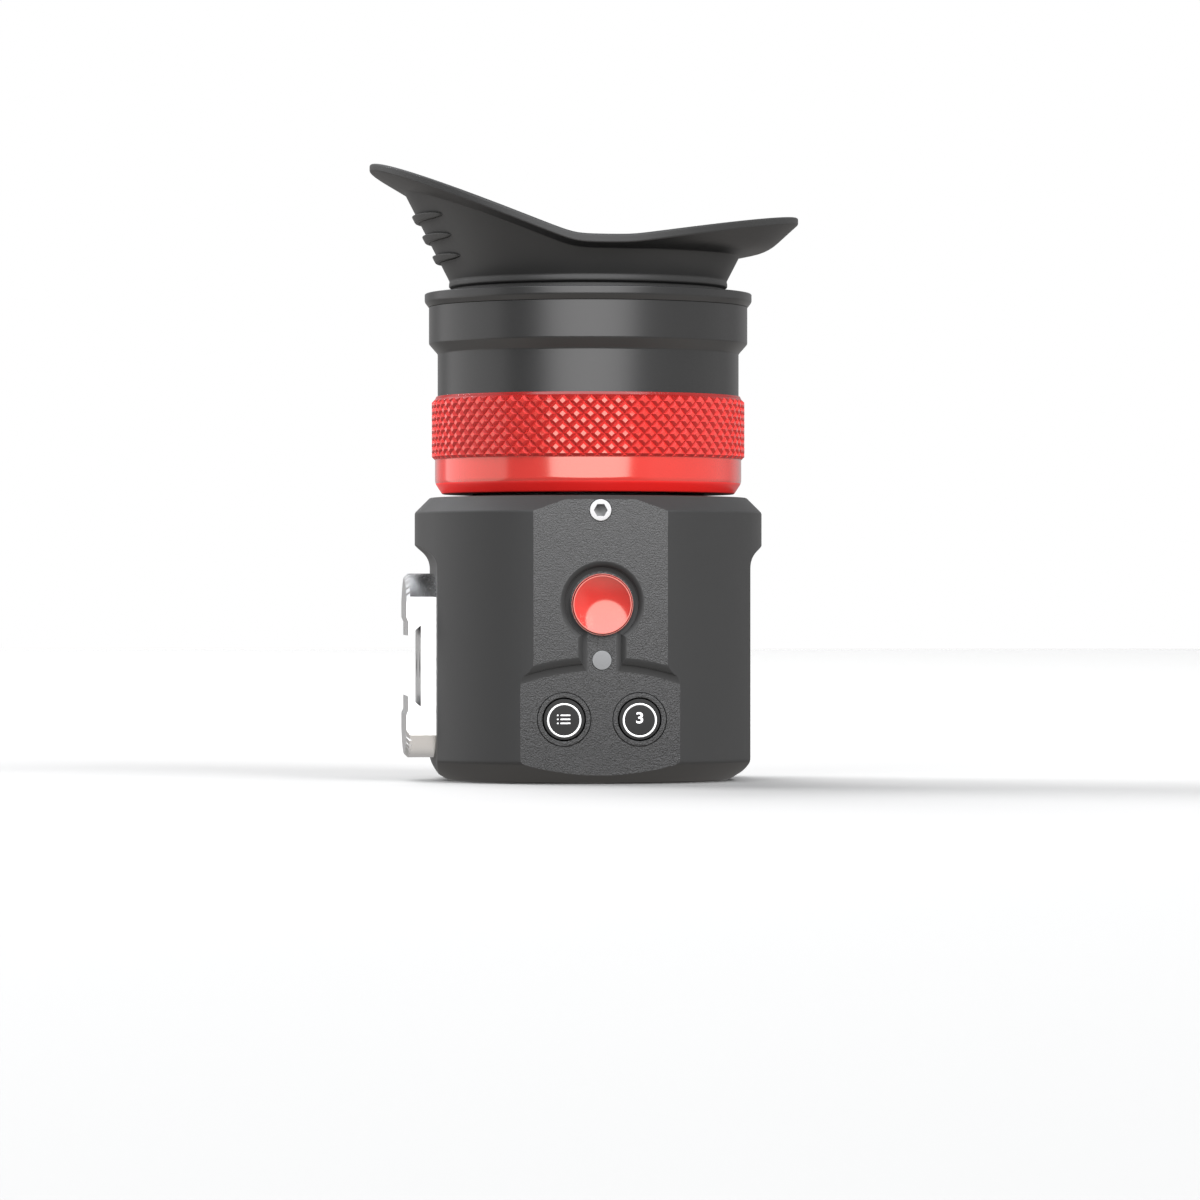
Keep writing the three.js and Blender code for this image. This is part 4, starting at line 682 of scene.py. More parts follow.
def bracket():
    """The round plate on the left, cut flat at both sides, with its dovetail slot and scallops."""
    place = at(LEFT, 0, BRACKET_Z)
    plate = lathe(
        "bracket_plate",
        [(0, SIDE_FLAT), (BRACKET_RADIUS, SIDE_FLAT), (BRACKET_RADIUS, BRACKET_FACE - RIM_CUT),
         (BRACKET_RADIUS - RIM_CUT, BRACKET_FACE), (0, BRACKET_FACE)],
        sides=256,
        place=place,
    )
    cutters = []
    for side in (1, -1):
        cutters.append(box("cut_side", (side * BRACKET_HALF, -30, 20), (side * FAR, 30, 50), place))
    upright = place @ Matrix.Rotation(math.pi / 2, 4, "Y")
    beyond = -LIP_FACE - 2
    slot = [(-SLOT_FLOOR, SLOT_HALF), (beyond, SLOT_MOUTH), (beyond, -SLOT_MOUTH), (-SLOT_FLOOR, -SLOT_HALF)]
    cutters.append(prism("cut_slot", slot, -30, 30, place=upright))
    near, beyond = -BRACKET_FACE - 0.1, -BRACKET_FACE - 3
    lips = [(near, -STEP_HALF), (beyond, -STEP_HALF), (beyond, STEP_HALF), (near, STEP_HALF),
            (-LIP_FACE, LIP_HALF), (-LIP_FACE, -LIP_HALF)]
    cutters.append(prism("cut_lips", lips, -30, 30, place=upright))
    for cutter in cutters:
        outward(cutter)
    carved(plate, cutters)
    sinks = [(0, SLOT_FLOOR - 4), (1.65, SLOT_FLOOR - 4), (1.65, SLOT_FLOOR - 1.6), (3.0, SLOT_FLOOR),
             (3.0, SLOT_FLOOR + 1), (0, SLOT_FLOOR + 1)]
    carved(plate, [lathe("cut_sink", sinks, sides=64, place=at(LEFT, u, BRACKET_Z)) for u in PLATE_SCREWS])
    welded(plate)
    softened(plate, 0.24, angle=24, segments=3)
    plate.modifiers.clear()
    carved(plate, [scallops()])
    return creased(shaded(welded(plate)), 20)


plate = bracket()
placed(plate, "body", "silver_plate", "dovetail_bracket", material=nickel)
# Painted shade on the undercut faces of the bracket's slot
shade_faces(
    plate,
    nickel_painted_shade,
    lambda middle, way: way.x > SHADE_RIGHT
    and abs(way.z) > SHADE_TILT
    and abs(middle.z - BRACKET_Z) < SHADE_HALF,
)
for i, u in enumerate(PLATE_SCREWS):
    spot = at(LEFT, u, BRACKET_Z, SLOT_FLOOR)
    screw = countersunk_screw(f"plate_screw_{i + 1}", PLATE_SCREW_LENGTH, spot)
    placed(screw, "body", "screw_steel", f"bracket_screw_{i + 1}", material=bright_steel)

# Neck below the diopter ring

neck = lathe(
    "neck_sleeve",
    [(21.3, 50.2), (27.5, 50.2), (27.5, 52.2), (23.9, 52.2), (23.9, 59.1), (23.3, 59.1), (23.3, 78.0, 0.2),
     (21.3, 78.0, 0.2)],
    sides=160,
)
placed(shaded(neck), "body", "barrel_black", "guide_sleeve", material=black_anodised)
washer = lathe("neck_washer", [(23.4, 59.26), (24.3, 59.26), (24.3, 59.9), (23.4, 59.9)], sides=160)
placed(shaded(washer), "body", "inner_plastic", "thrust_washer", material=inner_plastic)

# Diopter ring

KNURL_COUNT = 72
KNURL_PITCH = 2.7
KNURL_TOP = 32.9
KNURL_VALLEY = 32.3
KNURL_FLAT = 0.43
KNURL_INSIDE = 31.9
KNURL_ROWS = range(-2, 11)
KNURL_ROW = 78.6
KNURL_PHASE = math.radians(1.5)
KNURL_BAND = ((31.6, 66.4), (32.0, 66.9), (33.4, 68.3), (33.4, 78.7), (31.9, 80.2), (31.6, 80.3))

# Heights below and above which faces of the ring take reds of their own: a brighter red below, painted light
# on the downward faces, and a darker red above, painted shade on the upward faces
BELOW_Z = 62.1
KNURL_TOP_Z = 78.9
BAND_TOP_Z = 79.6


def knurl():
    """Truncated diamonds all round, trimmed to a band with chamfered ends."""
    half_turn = math.pi / KNURL_COUNT
    half_rise = KNURL_PITCH / 2
    points = []
    faces = []
    found = {}

    def spot(angle, height, radius):
        turn = round(angle / half_turn, 3) % (2 * KNURL_COUNT)
        key = (round(turn, 3), round(height, 3), radius)
        if key not in found:
            found[key] = len(points)
            a = KNURL_PHASE + turn * half_turn - math.pi / 2
            points.append((radius * math.cos(a), radius * math.sin(a), height))
        return found[key]

    for row in KNURL_ROWS:
        height = KNURL_ROW - row * half_rise
        for i in range(KNURL_COUNT):
            middle = (2 * i + row % 2) * half_turn
            around = [(-half_turn, 0), (0, -half_rise), (half_turn, 0), (0, half_rise)]
            outer = [spot(middle + a, height + z, KNURL_VALLEY) for a, z in around]
            inner = [spot(middle + a * KNURL_FLAT, height + z * KNURL_FLAT, KNURL_TOP) for a, z in around]
            faces.append(inner)
            for k in range(4):
                n = (k + 1) % 4
                faces.append([outer[k], outer[n], inner[n], inner[k]])
    shell = solid("ring_knurl", points, faces, red_anodised)
    made = bmesh.new()
    made.from_mesh(shell.data)
    for edges in loops_of(made):
        level = sum(v.co.z for e in edges for v in e.verts) / (2 * len(edges))
        shell_edges = bmesh.ops.extrude_edge_only(made, edges=edges)["geom"]
        rim = [v for v in shell_edges if isinstance(v, bmesh.types.BMVert)]
        for v in rim:
            a = math.atan2(v.co.y, v.co.x)
            v.co = (KNURL_INSIDE * MM * math.cos(a), KNURL_INSIDE * MM * math.sin(a), level)
    ends = loops_of(made)
    bmesh.ops.bridge_loops(made, edges=[e for edges in ends for e in edges])
    bmesh.ops.recalc_face_normals(made, faces=made.faces)
    made.to_mesh(shell.data)
    made.free()
    carved(shell, [lathe("trim", KNURL_BAND, sides=288)], "INTERSECT")
    return shell


def loops_of(made):
    """The open edge loops of a mesh, each as its list of edges."""
    left = {e for e in made.edges if len(e.link_faces) == 1}
    loops = []
    while left:
        stack = [left.pop()]
        loop = list(stack)
        while stack:
            for v in stack.pop().verts:
                for e in v.link_edges:
                    if e in left:
                        left.remove(e)
                        loop.append(e)
                        stack.append(e)
        loops.append(loop)
    return loops


ring = lathe(
    "ring_band",
    [(23.6, 59.95), (30.7, 59.95, 0.3), (32.23, 62.3, 0.7), (32.23, 67.1, 0.12), (32.3, 67.2), (32.3, 79.7),
     (31.95, 80.5, 0.1), (31.95, 75.6), (29.2, 75.6), (29.2, 61.75), (23.6, 61.75)],
    sides=256,
    steps=5,
)
placed(shaded(ring), "diopter_ring", "ring_red", "diopter_ring", material=red_anodised)
# Painted light: the downward faces low on the ring take the brighter red
shade_faces(ring, red_painted_light_below, lambda middle, way: middle.z < BELOW_Z and way.z < -0.2)
knurled = knurl()
knurled.data.polygons.foreach_set("use_smooth", [False] * len(knurled.data.polygons))
placed(knurled, "diopter_ring", "ring_red")


def tilt(middle, way):
    """How far a face on the ring turns away from straight out, as a cosine."""
    radial = math.hypot(middle.x, middle.y)
    return (way.x * middle.x + way.y * middle.y) / radial


shade_faces(knurled, red_cut, lambda middle, way: tilt(middle, way) < 0.95)
# Painted shade: the upward faces at the top of the knurl and of the band take the darker red
shade_faces(knurled, red_painted_shade_top, lambda middle, way: middle.z > KNURL_TOP_Z and way.z > 0.6)
shade_faces(ring, red_painted_shade_top, lambda middle, way: middle.z > BAND_TOP_Z and way.z > 0.2)

# Eyepiece barrel, its lenses and the eyecup ring

barrel = lathe(
    "barrel_shell",
    [(23.7, 66.5), (28.6, 66.5, 0.3), (28.6, 78.0), (31.67, 78.0, 0.3), (31.67, 89.4, 0.25),
     (33.5, 91.5, 0.25), (33.5, 99.2, 0.06), (30.6, 99.2), (30.6, 101.2, 0.2), (27.0, 101.2, 0.2),
     (27.0, 84.0), (22.0, 84.0, 0.2), (22.0, 82.5), (23.7, 82.5)],
    sides=256,
    steps=5,
)
placed(shaded(barrel), "eyepiece", "barrel_black", "eyepiece_barrel", material=barrel_finish)

LENS_CLEAR = 21.9
LENS_STEPS = 24


def lens(name, bottom, edge, bulge, node):
    """A lens with two bulging faces inside a flat rim, which starts at the bottom height."""
    curve = []
    for i in range(LENS_STEPS + 1):
        curve.append((LENS_CLEAR * i / LENS_STEPS, bulge * (1 - (i / LENS_STEPS) ** 2)))
    top = bottom + edge
    line = [(radius, bottom - rise) for radius, rise in curve]
    line += [(26.6, bottom), (26.7, bottom + 0.1), (26.7, top - 0.1), (26.6, top)]
    line += [(radius, top + rise) for radius, rise in reversed(curve)]
    made = lathe(name, line)
    placed(shaded(made), "eyepiece", "lens_glass", node, material=lens_glass)


lens("inner_lens", 84.0, 3.4, 1.4, "field_lens")
lens("outer_lens", 91.1, 4.0, 1.5, "eye_lens")
spacer = lathe("lens_gap_ring", [(24.2, 87.5, 0.2), (26.7, 87.5), (26.7, 91.0), (24.2, 91.0, 0.2)])
placed(shaded(spacer), "eyepiece", "barrel_black", "lens_spacer", material=black_anodised)


def retainer():
    """The ring that holds the lenses, with its two notches for a key."""
    made = lathe(
        "lens_lock_ring",
        [(23.7, 95.2), (26.7, 95.2), (26.7, 97.7, 0.2), (24.6, 97.7, 0.3), (23.7, 96.6, 0.3)],
        steps=4,
    )
    notches = [box("cut_notch", (side * 23.0, -1, 96.7), (side * 27.0, 1, 98.5)) for side in (1, -1)]
    carved(made, [outward(n) for n in notches])
    return softened(made, 0.08, angle=25)


placed(retainer(), "eyepiece", "barrel_black", "lens_retainer", material=black_anodised)

rim = lathe(
    "cup_rim",
    [(30.9, 99.4), (32.8, 99.4), (32.9, 99.26), (33.6, 99.26, 0.1), (34.4, 100.35, 0.3), (34.4, 101.9, 0.15),
     (34.2, 102.05, 0.08), (32.7, 102.05, 0.12), (32.7, 101.5), (30.9, 101.5)],
    sides=256,
    steps=5,
)
placed(shaded(rim), "eyecup", "barrel_black", "eyecup_ring", material=barrel_finish)

# Rubber eyecup: sections round the axis

CONE_SLOPE = 0.51
CONE_FOOT = 104.7
CONE_RADIUS = 29.2
CREASE_Z = 110.35
SADDLE_Z = 113.1
LEFT_SLOPE = 0.41
RIGHT_SLOPE = 0.153
RAMP_BLEND = 2.5
LIP_LEFT = 5.3
LIP_RIGHT = 6.7
CREASE_LEFT = 5.5
LIP_EDGE = 1.4
LIP_EDGE_FRONT = 0.4
RIGHT_SAG = 2.2
RIGHT_WALL = 1.1
LIP_WALL = 1.4
TIP_X = -0.85
TIP_LONG = 45.15
TIP_WIDE = 35.2
CUP_BORE = 27.4
CUP_SECTIONS = 288


def ramp(x):
    """Nothing below zero and x above it, with a soft bend between."""
    return (x + math.hypot(x, RAMP_BLEND) - RAMP_BLEND) / 2


def lip_height(x):
    """The lip's saddle: steep towards the left and faint towards the right."""
    return SADDLE_Z + LEFT_SLOPE * ramp(-x - LIP_LEFT) + RIGHT_SLOPE * ramp(x - LIP_RIGHT)


def crease_height(x):
    """The crease over the cone, which goes up with the lip on the left."""
    return CREASE_Z + LEFT_SLOPE * ramp(-x - CREASE_LEFT)


def cone_radius(height):
    """The cone's outside."""
    return CONE_RADIUS + CONE_SLOPE * (height - CONE_FOOT)


def cup_section(angle):
    """The cup's outline on one side of the axis: ring seat, cone, crease, lip and inside."""
    c, s = math.cos(angle), math.sin(angle)
    outward_way = Vector((c, s, 0))
    up = Vector((0, 0, 1))

    def spot(radius, height):
        return Vector((radius * c, radius * s, height))

    # The crease lies on the cone, so its height and its radius are found from each other
    crease = CREASE_Z
    for _ in range(8):
        crease = crease_height(cone_radius(crease) * c)
    edge = cone_radius(crease)
    tip = Vector((TIP_X + TIP_LONG * c, TIP_WIDE * s, 0))
    tip.z = lip_height(tip.x)
    foot = spot(edge, crease)
    under = tip - up * (LIP_EDGE + LIP_EDGE_FRONT * (1 - abs(c)))
    right = max(c, 0) ** 2
    knee = foot.lerp(under, 0.5) - up * RIGHT_SAG * right
    inner_knee = knee + up * LIP_WALL - outward_way * RIGHT_WALL * right
    inner_foot = spot(edge - 1.9, crease + 1.0)
    corners = [
        (spot(CUP_BORE, 101.6), 0.2),
        (spot(32.4, 101.6), 0.1),
        (spot(32.4, 101.95), 0.2),
        (spot(28.45, 101.95), 0.3),
        (spot(28.45, 103.1), 0.2),
        (spot(29.3, 103.35), 0.4),
        (spot(29.3, 104.1), 0.45),
        (spot(CONE_RADIUS - 0.05, CONE_FOOT - 0.05), 0.3),
        (foot, 0.35),
        (knee, 2.6),
        (under, 0.3),
        (tip, 0.45),
        (tip - outward_way * 1.0, 0.4),
        (inner_knee, 3.0),
        (inner_foot, 1.2),
        (spot(CUP_BORE, CONE_FOOT), 1.2),
    ]
    return rounded([p for p, _ in corners], [size for _, size in corners], 5)


def eyecup():
    """The rubber cup, as a closed skin over its sections."""
    sections = [cup_section(2 * math.pi * i / CUP_SECTIONS) for i in range(CUP_SECTIONS)]
    count = len(sections[0])
    points = [tuple(p) for section in sections for p in section]
    faces = []
    for i in range(CUP_SECTIONS):
        j = (i + 1) % CUP_SECTIONS
        for k in range(count):
            n = (k + 1) % count
            faces.append([i * count + k, j * count + k, j * count + n, i * count + n])
    return solid("rubber_cup", points, faces, cup_rubber)


cup = eyecup()
placed(shaded(cup), "eyecup", "cup_rubber", "eyecup")

GRIP_STEPS = 48
GRIP_REACH = math.radians(28)
GRIP_HALF = 0.75
GRIP_RISE = 1.0
GRIP_SINK = 0.4
GRIP_CUT = 0.35
GRIP_LOWEST = 109.2
GRIP_PITCH = 4.2


def grip(name, middle):
    """A rounded ridge that follows the cone on the raised side and fades out at its ends."""
    points = []
    count = 0
    for i in range(GRIP_STEPS + 1):
        share = 2 * i / GRIP_STEPS - 1
        grow = max(1 - share**4, 0.02) ** 0.5
        angle = math.pi + GRIP_REACH * share
        c, s = math.cos(angle), math.sin(angle)
        low, high = middle - GRIP_HALF * grow, middle + GRIP_HALF * grow
        corners = [
            (cone_radius(low) - GRIP_SINK, low),
            (cone_radius(low) + GRIP_RISE * grow, low),
            (cone_radius(high) + GRIP_RISE * grow, high),
            (cone_radius(high) - GRIP_SINK, high),
        ]
        section = rounded(corners, [0, GRIP_CUT * grow, GRIP_CUT * grow, 0], 4)
        count = len(section)
        points += [(p.x * c, p.x * s, p.y) for p in section]
    faces = []
    for i in range(GRIP_STEPS):
        for k in range(count):
            n = (k + 1) % count
            faces.append([i * count + k, (i + 1) * count + k, (i + 1) * count + n, i * count + n])
    faces.append(list(range(count)))
    faces.append(list(range(GRIP_STEPS * count, (GRIP_STEPS + 1) * count))[::-1])
    made = outward(solid(name, points, faces, cup_rubber))
    placed(shaded(made), "eyecup", "cup_rubber")


for i in range(3):
    grip(f"cup_grip_{i + 1}", GRIP_LOWEST + GRIP_PITCH * i)

# Buttons

PRINT_DROP = 0.18
PRINT_INNER = 3.13
PRINT_OUTER = 3.49
PRINT_LOW = 32.66
PRINT_HIGH = 32.71

# The list sign on the left button: its rows, their half height, and the spans of dots and lines
LIST_ROWS = (0.85, 0.03, -0.79)
ROW_HALF = 0.135
DOT_SPAN = (-1.48, -1.18)
LINE_SPAN = (-0.76, 1.25)
ROW_LOW = 32.68
ROW_HIGH = 32.72


def button(name, x, body, bezel_node, cap_node):
    """A key in its bezel with a printed ring. Returns its place for the sign."""
    place = at(FRONT, x, BUTTON_Z)
    bezel = lathe(
        f"{name}_bezel_ring",
        [(4.45, 31.4), (5.46, 31.4), (5.46, LOWER_PAD, 0.12), (4.45, LOWER_PAD, 0.15)],
        place=place,
    )
    # The bezel takes the grained paint, with its painted shade darker towards the bottom
    placed(shaded(bezel), "body", "bezel_black", bezel_node, material=grained_paint_with_painted_shade)
    cap = lathe(
        f"{name}_key",
        [(0, 26.0), (1.5, 26.0), (1.5, 29.1), (5.0, 29.1), (5.0, 29.9), (4.2, 29.9), (4.2, 32.66, 0.12),
         (0, 32.7)],
        place=place,
        steps=5,
    )
    placed(shaded(cap), body, "button_black", cap_node, material=button_plastic)
    mark = lathe(
        f"{name}_printed_ring",
        [(PRINT_INNER, PRINT_LOW), (PRINT_OUTER, PRINT_LOW),
         (PRINT_OUTER, PRINT_HIGH), (PRINT_INNER, PRINT_HIGH)],
        place=at(FRONT, x, BUTTON_Z - PRINT_DROP),
    )
    placed(shaded(mark), body, "print_white", material=print_ink)
    return place


def bar(name, place, span, middle, body):
    """One printed dot or line of the list sign."""
    low = (span[0], middle - ROW_HALF, ROW_LOW)
    high = (span[1], middle + ROW_HALF, ROW_HIGH)
    made = outward(box(name, low, high, place, print_ink))
    placed(softened(made, 0.05, angle=40), body, "print_white")


menu_place = button("menu", CONTROL_X - BUTTON_GAP, "menu_button", "menu_button_bezel", "menu_button_cap")
for i, row in enumerate(LIST_ROWS):
    bar(f"menu_dot_{i + 1}", menu_place, DOT_SPAN, row, "menu_button")
    bar(f"menu_line_{i + 1}", menu_place, LINE_SPAN, row, "menu_button")
number_place = button(
    "number", CONTROL_X + BUTTON_GAP, "function_button", "function_button_bezel", "function_button_cap"
)

NUMERAL_HEIGHT = 3.2
NUMERAL_WEIGHT = 0.045
NUMERAL_RELIEF = 0.02
NUMERAL_STRETCH = (1.12, 0.98, 1, 1)
NUMERAL_SPOT = (0.0, 0.19, 32.695)


def numeral(text, place, body):
    """A plain printed number, from the built-in typeface."""
    curve = bpy.data.curves.new("numeral", "FONT")
    curve.body = text
    curve.align_x = "CENTER"
    curve.align_y = "CENTER"
    curve.size = NUMERAL_HEIGHT * MM
    curve.offset = NUMERAL_WEIGHT * MM
    curve.extrude = NUMERAL_RELIEF * MM
    flat = bpy.data.objects.new("numeral_curve", curve)
    scene.collection.objects.link(flat)
    deps = bpy.context.evaluated_depsgraph_get()
    mesh = bpy.data.meshes.new_from_object(flat.evaluated_get(deps), depsgraph=deps)
    bpy.data.objects.remove(flat)
    bpy.data.curves.remove(curve)
    spot = place.copy()
    spot.translation = spot.translation * MM
    mesh.transform(spot @ Matrix.Diagonal(NUMERAL_STRETCH))
    made = linked("number_mark", mesh, print_ink)
    placed(made, body, "print_white")


numeral("3", number_place @ Matrix.Translation(NUMERAL_SPOT), "function_button")

# Joystick dish and status window

DISH_FACE = 34.1
DISH_RIM = DISH_FACE - 0.1
BOWL_RADIUS = 5.78
BOWL_DEPTH = 1.62
BOWL_STEPS = 28

# The side of the dish's rim, darkened with painted shade: its reach from the front and from the dish's
# middle
RIM_SIDE_Y = (-34.05, -33.57)
RIM_SIDE_RADIUS = (5.93, 6.18)


def joystick():
    """The dish on its stem: a shallow bowl within a thin bright rim."""
    line = [(0, 24.9), (1.4, 24.9), (1.4, 30.0, 0.3), (4.2, 31.0, 0.6), (4.95, 32.9, 0.3), (5.5, 33.44, 0.1),
            (6.3, 33.56, 0.03), (6.3, 33.66, 0.02), (6.2, 33.66), (6.14, 33.6), (6.0, 33.62),
            (5.96, DISH_FACE), (5.8, DISH_FACE), (5.79, DISH_RIM)]
    for i in range(BOWL_STEPS, -1, -1):
        share = i / BOWL_STEPS
        line.append((BOWL_RADIUS * share, DISH_RIM - BOWL_DEPTH * (1 - share**2)))
    return lathe("joystick_dish", line, sides=160, place=at(FRONT, CONTROL_X, JOYSTICK_Z), steps=4)


def on_rim_side(middle, way):
    """Whether a face of the dish lies on the side of its rim, wherever it looks."""
    radius = math.hypot(middle.x - CONTROL_X, middle.z - JOYSTICK_Z)
    return RIM_SIDE_Y[0] < middle.y < RIM_SIDE_Y[1] and RIM_SIDE_RADIUS[0] < radius < RIM_SIDE_RADIUS[1]


stick = joystick()
placed(creased(shaded(stick), 25), "joystick_cap", "joystick_red", "joystick_cap", material=joystick_red)
# Painted shade on the side of the dish's rim
shade_faces(stick, red_painted_shade_side, on_rim_side)
status = lathe(
    "status_lens",
    [(0, 22.1), (2.0, 22.1), (2.0, LOWER_PAD, 0.15), (0, LOWER_PAD)],
    sides=96,
    place=at(FRONT, CONTROL_X, STATUS_Z),
    steps=4,
)
placed(shaded(status), "body", "status_grey", "status_window", material=status_lens)

# Signal socket on the back

NUT_HALF = 6.9
CONTACTS = 6
CONTACT_CIRCLE = 2.4


def socket():
    """The socket's shell, its nut, and the insert with its contacts."""
    place = at(BACK, 0, SOCKET_Z)
    tube = lathe(
        "socket_shell",
        [(4.0, 26.0), (5.2, 26.0), (5.2, 28.9), (7.0, 28.9, 0.2), (7.0, 30.9, 0.2), (5.2, 30.9),
         (5.2, 36.3, 0.2), (4.0, 36.3, 0.25)],
        place=place,
    )
    placed(shaded(tube), "body", "screw_steel", "signal_socket", material=bright_steel)
    nut = prism("socket_lock_nut", ring_of(NUT_HALF / math.cos(math.pi / 6), 6), 34.45, 36.1, place=place)
    carved(nut, [outward(hole(5.25, 30, 40, place, 96))])
    outward(nut)
    trim = [(0, 33), (7.4, 33), (7.4, 35.8), (NUT_HALF, 36.1), (0, 36.1)]
    chamfer = lathe("trim_nut", trim, sides=96, place=place)
    carved(nut, [outward(chamfer)], "INTERSECT")
    placed(softened(nut, 0.08, angle=20), "body", "screw_steel", "socket_nut", material=bright_steel)
    core = [(0, 26.8), (3.95, 26.8), (3.95, 29.4, 0.15), (0, 29.4)]
    insert = lathe("socket_core", core, sides=96, place=place)
    wells = []
    for i in range(CONTACTS):
        a = i * math.pi / 3
        spot = at(BACK, CONTACT_CIRCLE * math.cos(a), SOCKET_Z + CONTACT_CIRCLE * math.sin(a))
        wells.append(outward(hole(0.5, 27.8, 30, spot, 24)))
        pin = lathe(
            f"contact_sleeve_{i + 1}",
            [(0.28, 27.9), (0.46, 27.9), (0.46, 29.3, 0.06), (0.28, 29.3, 0.06)],
            sides=24,
            place=spot,
        )
        placed(shaded(pin), "body", "screw_steel", material=contact_gold)
    carved(insert, wells)
    softened(insert, 0.05, angle=25)
    placed(insert, "body", "inner_plastic", "contact_insert", material=inner_plastic)


socket()

# The CAD pieces that stay, mostly out of sight

STAYS = (
    (bright_steel, ("guide_key_1", "guide_key_2", "ring_retainer", "drive_pin_1", "drive_pin_2")),
    (bright_steel, ("swivel_clip", "joystick_gimbal_ring", "board_screw_1", "board_screw_2")),
    (bright_steel, ("carrier_screw_1", "carrier_screw_2")),
    (inner_plastic, ("menu_switch", "function_switch", "joystick_base", "joystick_yoke", "joystick_switch")),
    (inner_plastic, ("display_carrier",)),
    (circuit_green, ("control_board", "driver_board")),
    (display_black, ("display_panel", "display_window")),
    (amber_film, ("display_flex", "control_flex", "signal_flex")),
)
for material, names in STAYS:
    for name in names:
        node = bpy.data.objects[name]
        node.data.materials.clear()
        node.data.materials.append(material)

# Floor, lights and camera


def towards(azimuth, elevation):
    """A direction, by its azimuth from the camera's side towards the right and its elevation."""
    a = math.radians(azimuth)
    e = math.radians(elevation)
    way = Vector((math.sin(a) * math.cos(e), -math.cos(a) * math.cos(e), math.sin(e)))
    return Matrix.Rotation(-TURN, 3, "Z") @ way


# Soft lights seen in reflections: azimuth, elevation, half angle, strength, edge
SOFTBOXES = (
    (1.2, 31, 41, 3.1, 1.2),
    (-99, 2, 36, 0.75, 2.0),
    (-137, 52, 30, 0.85, 5.0),
    (84, 6, 42, 0.26, 12.0),
    (172, 8, 36, 0.16, 8.0),
    (0, -90, 50, 0.45, 22.0),
)

# Light from everywhere else, and the tints of the light from below and from above
DIM = 0.28
BELOW = (1.06, 1.0, 0.94, 1)
ABOVE = (0.955, 0.99, 1.05, 1)
PLAIN = (1, 1, 1, 1)

FLOOR_HALF = 3000
FLOOR_DEPTH = 8

# Broad lights that only brighten: azimuth, elevation, half angle and the floor's brightness from each
FILLS = (
    (-158, 45, 18, 3.3),
    (-119, 28, 15, 2.8),
    (50, 35, 17, 2.2),
    (120, 48, 16, 0.5),
    (-35, 26, 22, 0.55),
)


def softbox(tree, direction, azimuth, elevation, half, strength, edge):
    """One round light in the surroundings, as a strength by direction."""
    cosine = tree.nodes.new("ShaderNodeVectorMath")
    cosine.operation = "DOT_PRODUCT"
    cosine.inputs[1].default_value = towards(azimuth, elevation)
    tree.links.new(direction, cosine.inputs[0])
    fade = tree.nodes.new("ShaderNodeMapRange")
    fade.interpolation_type = "SMOOTHSTEP"
    outside = math.cos(math.radians(half + edge))
    inside = math.cos(math.radians(half - edge))
    put(fade, {"From Min": outside, "From Max": inside, "To Min": 0.0, "To Max": strength})
    tree.links.new(cosine.outputs["Value"], fade.inputs["Value"])
    return fade.outputs["Result"]


def fill(name, azimuth, elevation, half, brightness):
    """One broad light that isn't seen itself, nor in reflections or through a lens."""
    data = bpy.data.lights.new(name, "SUN")
    data.angle = math.radians(2 * half)
    data.energy = brightness * math.pi / math.sin(math.radians(elevation))
    lamp = bpy.data.objects.new(name, data)
    scene.collection.objects.link(lamp)
    way = towards(azimuth, elevation)
    lamp.matrix_world = Matrix.Translation(way) @ way.to_track_quat("Z", "Y").to_matrix().to_4x4()
    lamp.visible_glossy = False
    lamp.visible_transmission = False
    lamp.visible_camera = False


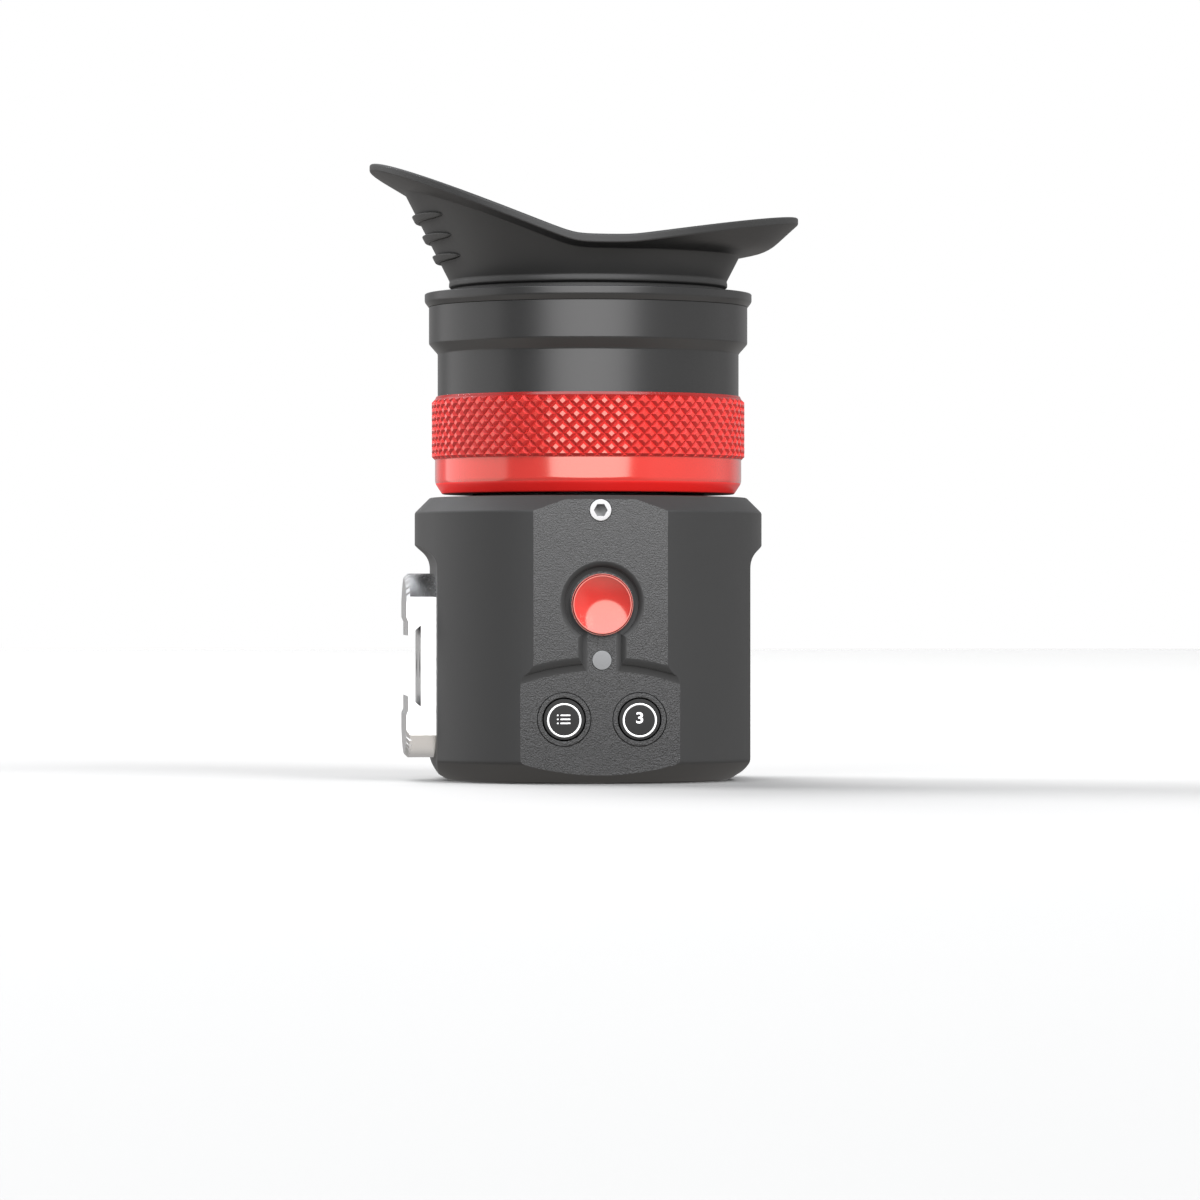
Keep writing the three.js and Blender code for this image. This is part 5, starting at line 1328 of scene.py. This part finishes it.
def surroundings():
    """The soft lights all round, with a plain white background where the camera looks past the part."""
    world = bpy.data.worlds.new("studio")
    scene.world = world
    world.use_nodes = True
    tree = world.node_tree
    new = tree.nodes.new
    link = tree.links.new
    back = tree.nodes["Background"]
    place = new("ShaderNodeTexCoord")
    total = None
    for values in SOFTBOXES:
        part = softbox(tree, place.outputs["Generated"], *values)
        add = new("ShaderNodeMath")
        add.operation = "ADD"
        link(part, add.inputs[0])
        if total is None:
            add.inputs[1].default_value = DIM
        else:
            link(total, add.inputs[1])
        total = add.outputs[0]
    path = new("ShaderNodeLightPath")
    pick = new("ShaderNodeMix")
    put(pick, {"B": 1.0})
    link(path.outputs["Is Camera Ray"], pick.inputs["Factor"])
    link(total, pick.inputs["A"])
    link(pick.outputs["Result"], back.inputs["Strength"])
    split = new("ShaderNodeSeparateXYZ")
    level = new("ShaderNodeMapRange")
    put(level, {"From Min": -1})
    link(place.outputs["Generated"], split.inputs["Vector"])
    link(split.outputs["Z"], level.inputs["Value"])
    tone = new("ShaderNodeMix")
    tone.data_type = "RGBA"
    put(tone, {"A": BELOW, "B": ABOVE})
    link(level.outputs["Result"], tone.inputs["Factor"])
    seen = new("ShaderNodeMix")
    seen.data_type = "RGBA"
    put(seen, {"B": PLAIN})
    link(path.outputs["Is Camera Ray"], seen.inputs["Factor"])
    link(tone.outputs["Result"], seen.inputs["A"])
    link(seen.outputs["Result"], back.inputs["Color"])


def ground():
    """The pale floor under the part."""
    floor = box("floor", (-FLOOR_HALF, -FLOOR_HALF, -FLOOR_DEPTH), (FLOOR_HALF, FLOOR_HALF, 0))
    white = surface("floor_white", grey(0.0993), 0.8, mottle=0.002, mottle_size=40, specular=0.0)
    floor.data.materials.append(white)
    floor.visible_glossy = False


def viewpoint():
    """The camera in front of the control face."""
    data = bpy.data.cameras.new("camera")
    data.lens = FOCAL
    data.sensor_width = SENSOR
    data.clip_end = VIEW_END
    camera = bpy.data.objects.new("camera", data)
    scene.collection.objects.link(camera)
    turn = Matrix.Rotation(-TURN, 4, "Z")
    stand = Matrix.Translation(Vector((ASIDE, -DISTANCE, EYE_HEIGHT)) * MM)
    camera.matrix_world = turn @ stand @ Matrix.Rotation(math.pi / 2, 4, "X")
    scene.camera = camera


surroundings()
ground()
for i, values in enumerate(FILLS):
    fill(f"fill_{i + 1}", *values)
scene.view_settings.view_transform = "Standard"
viewpoint()
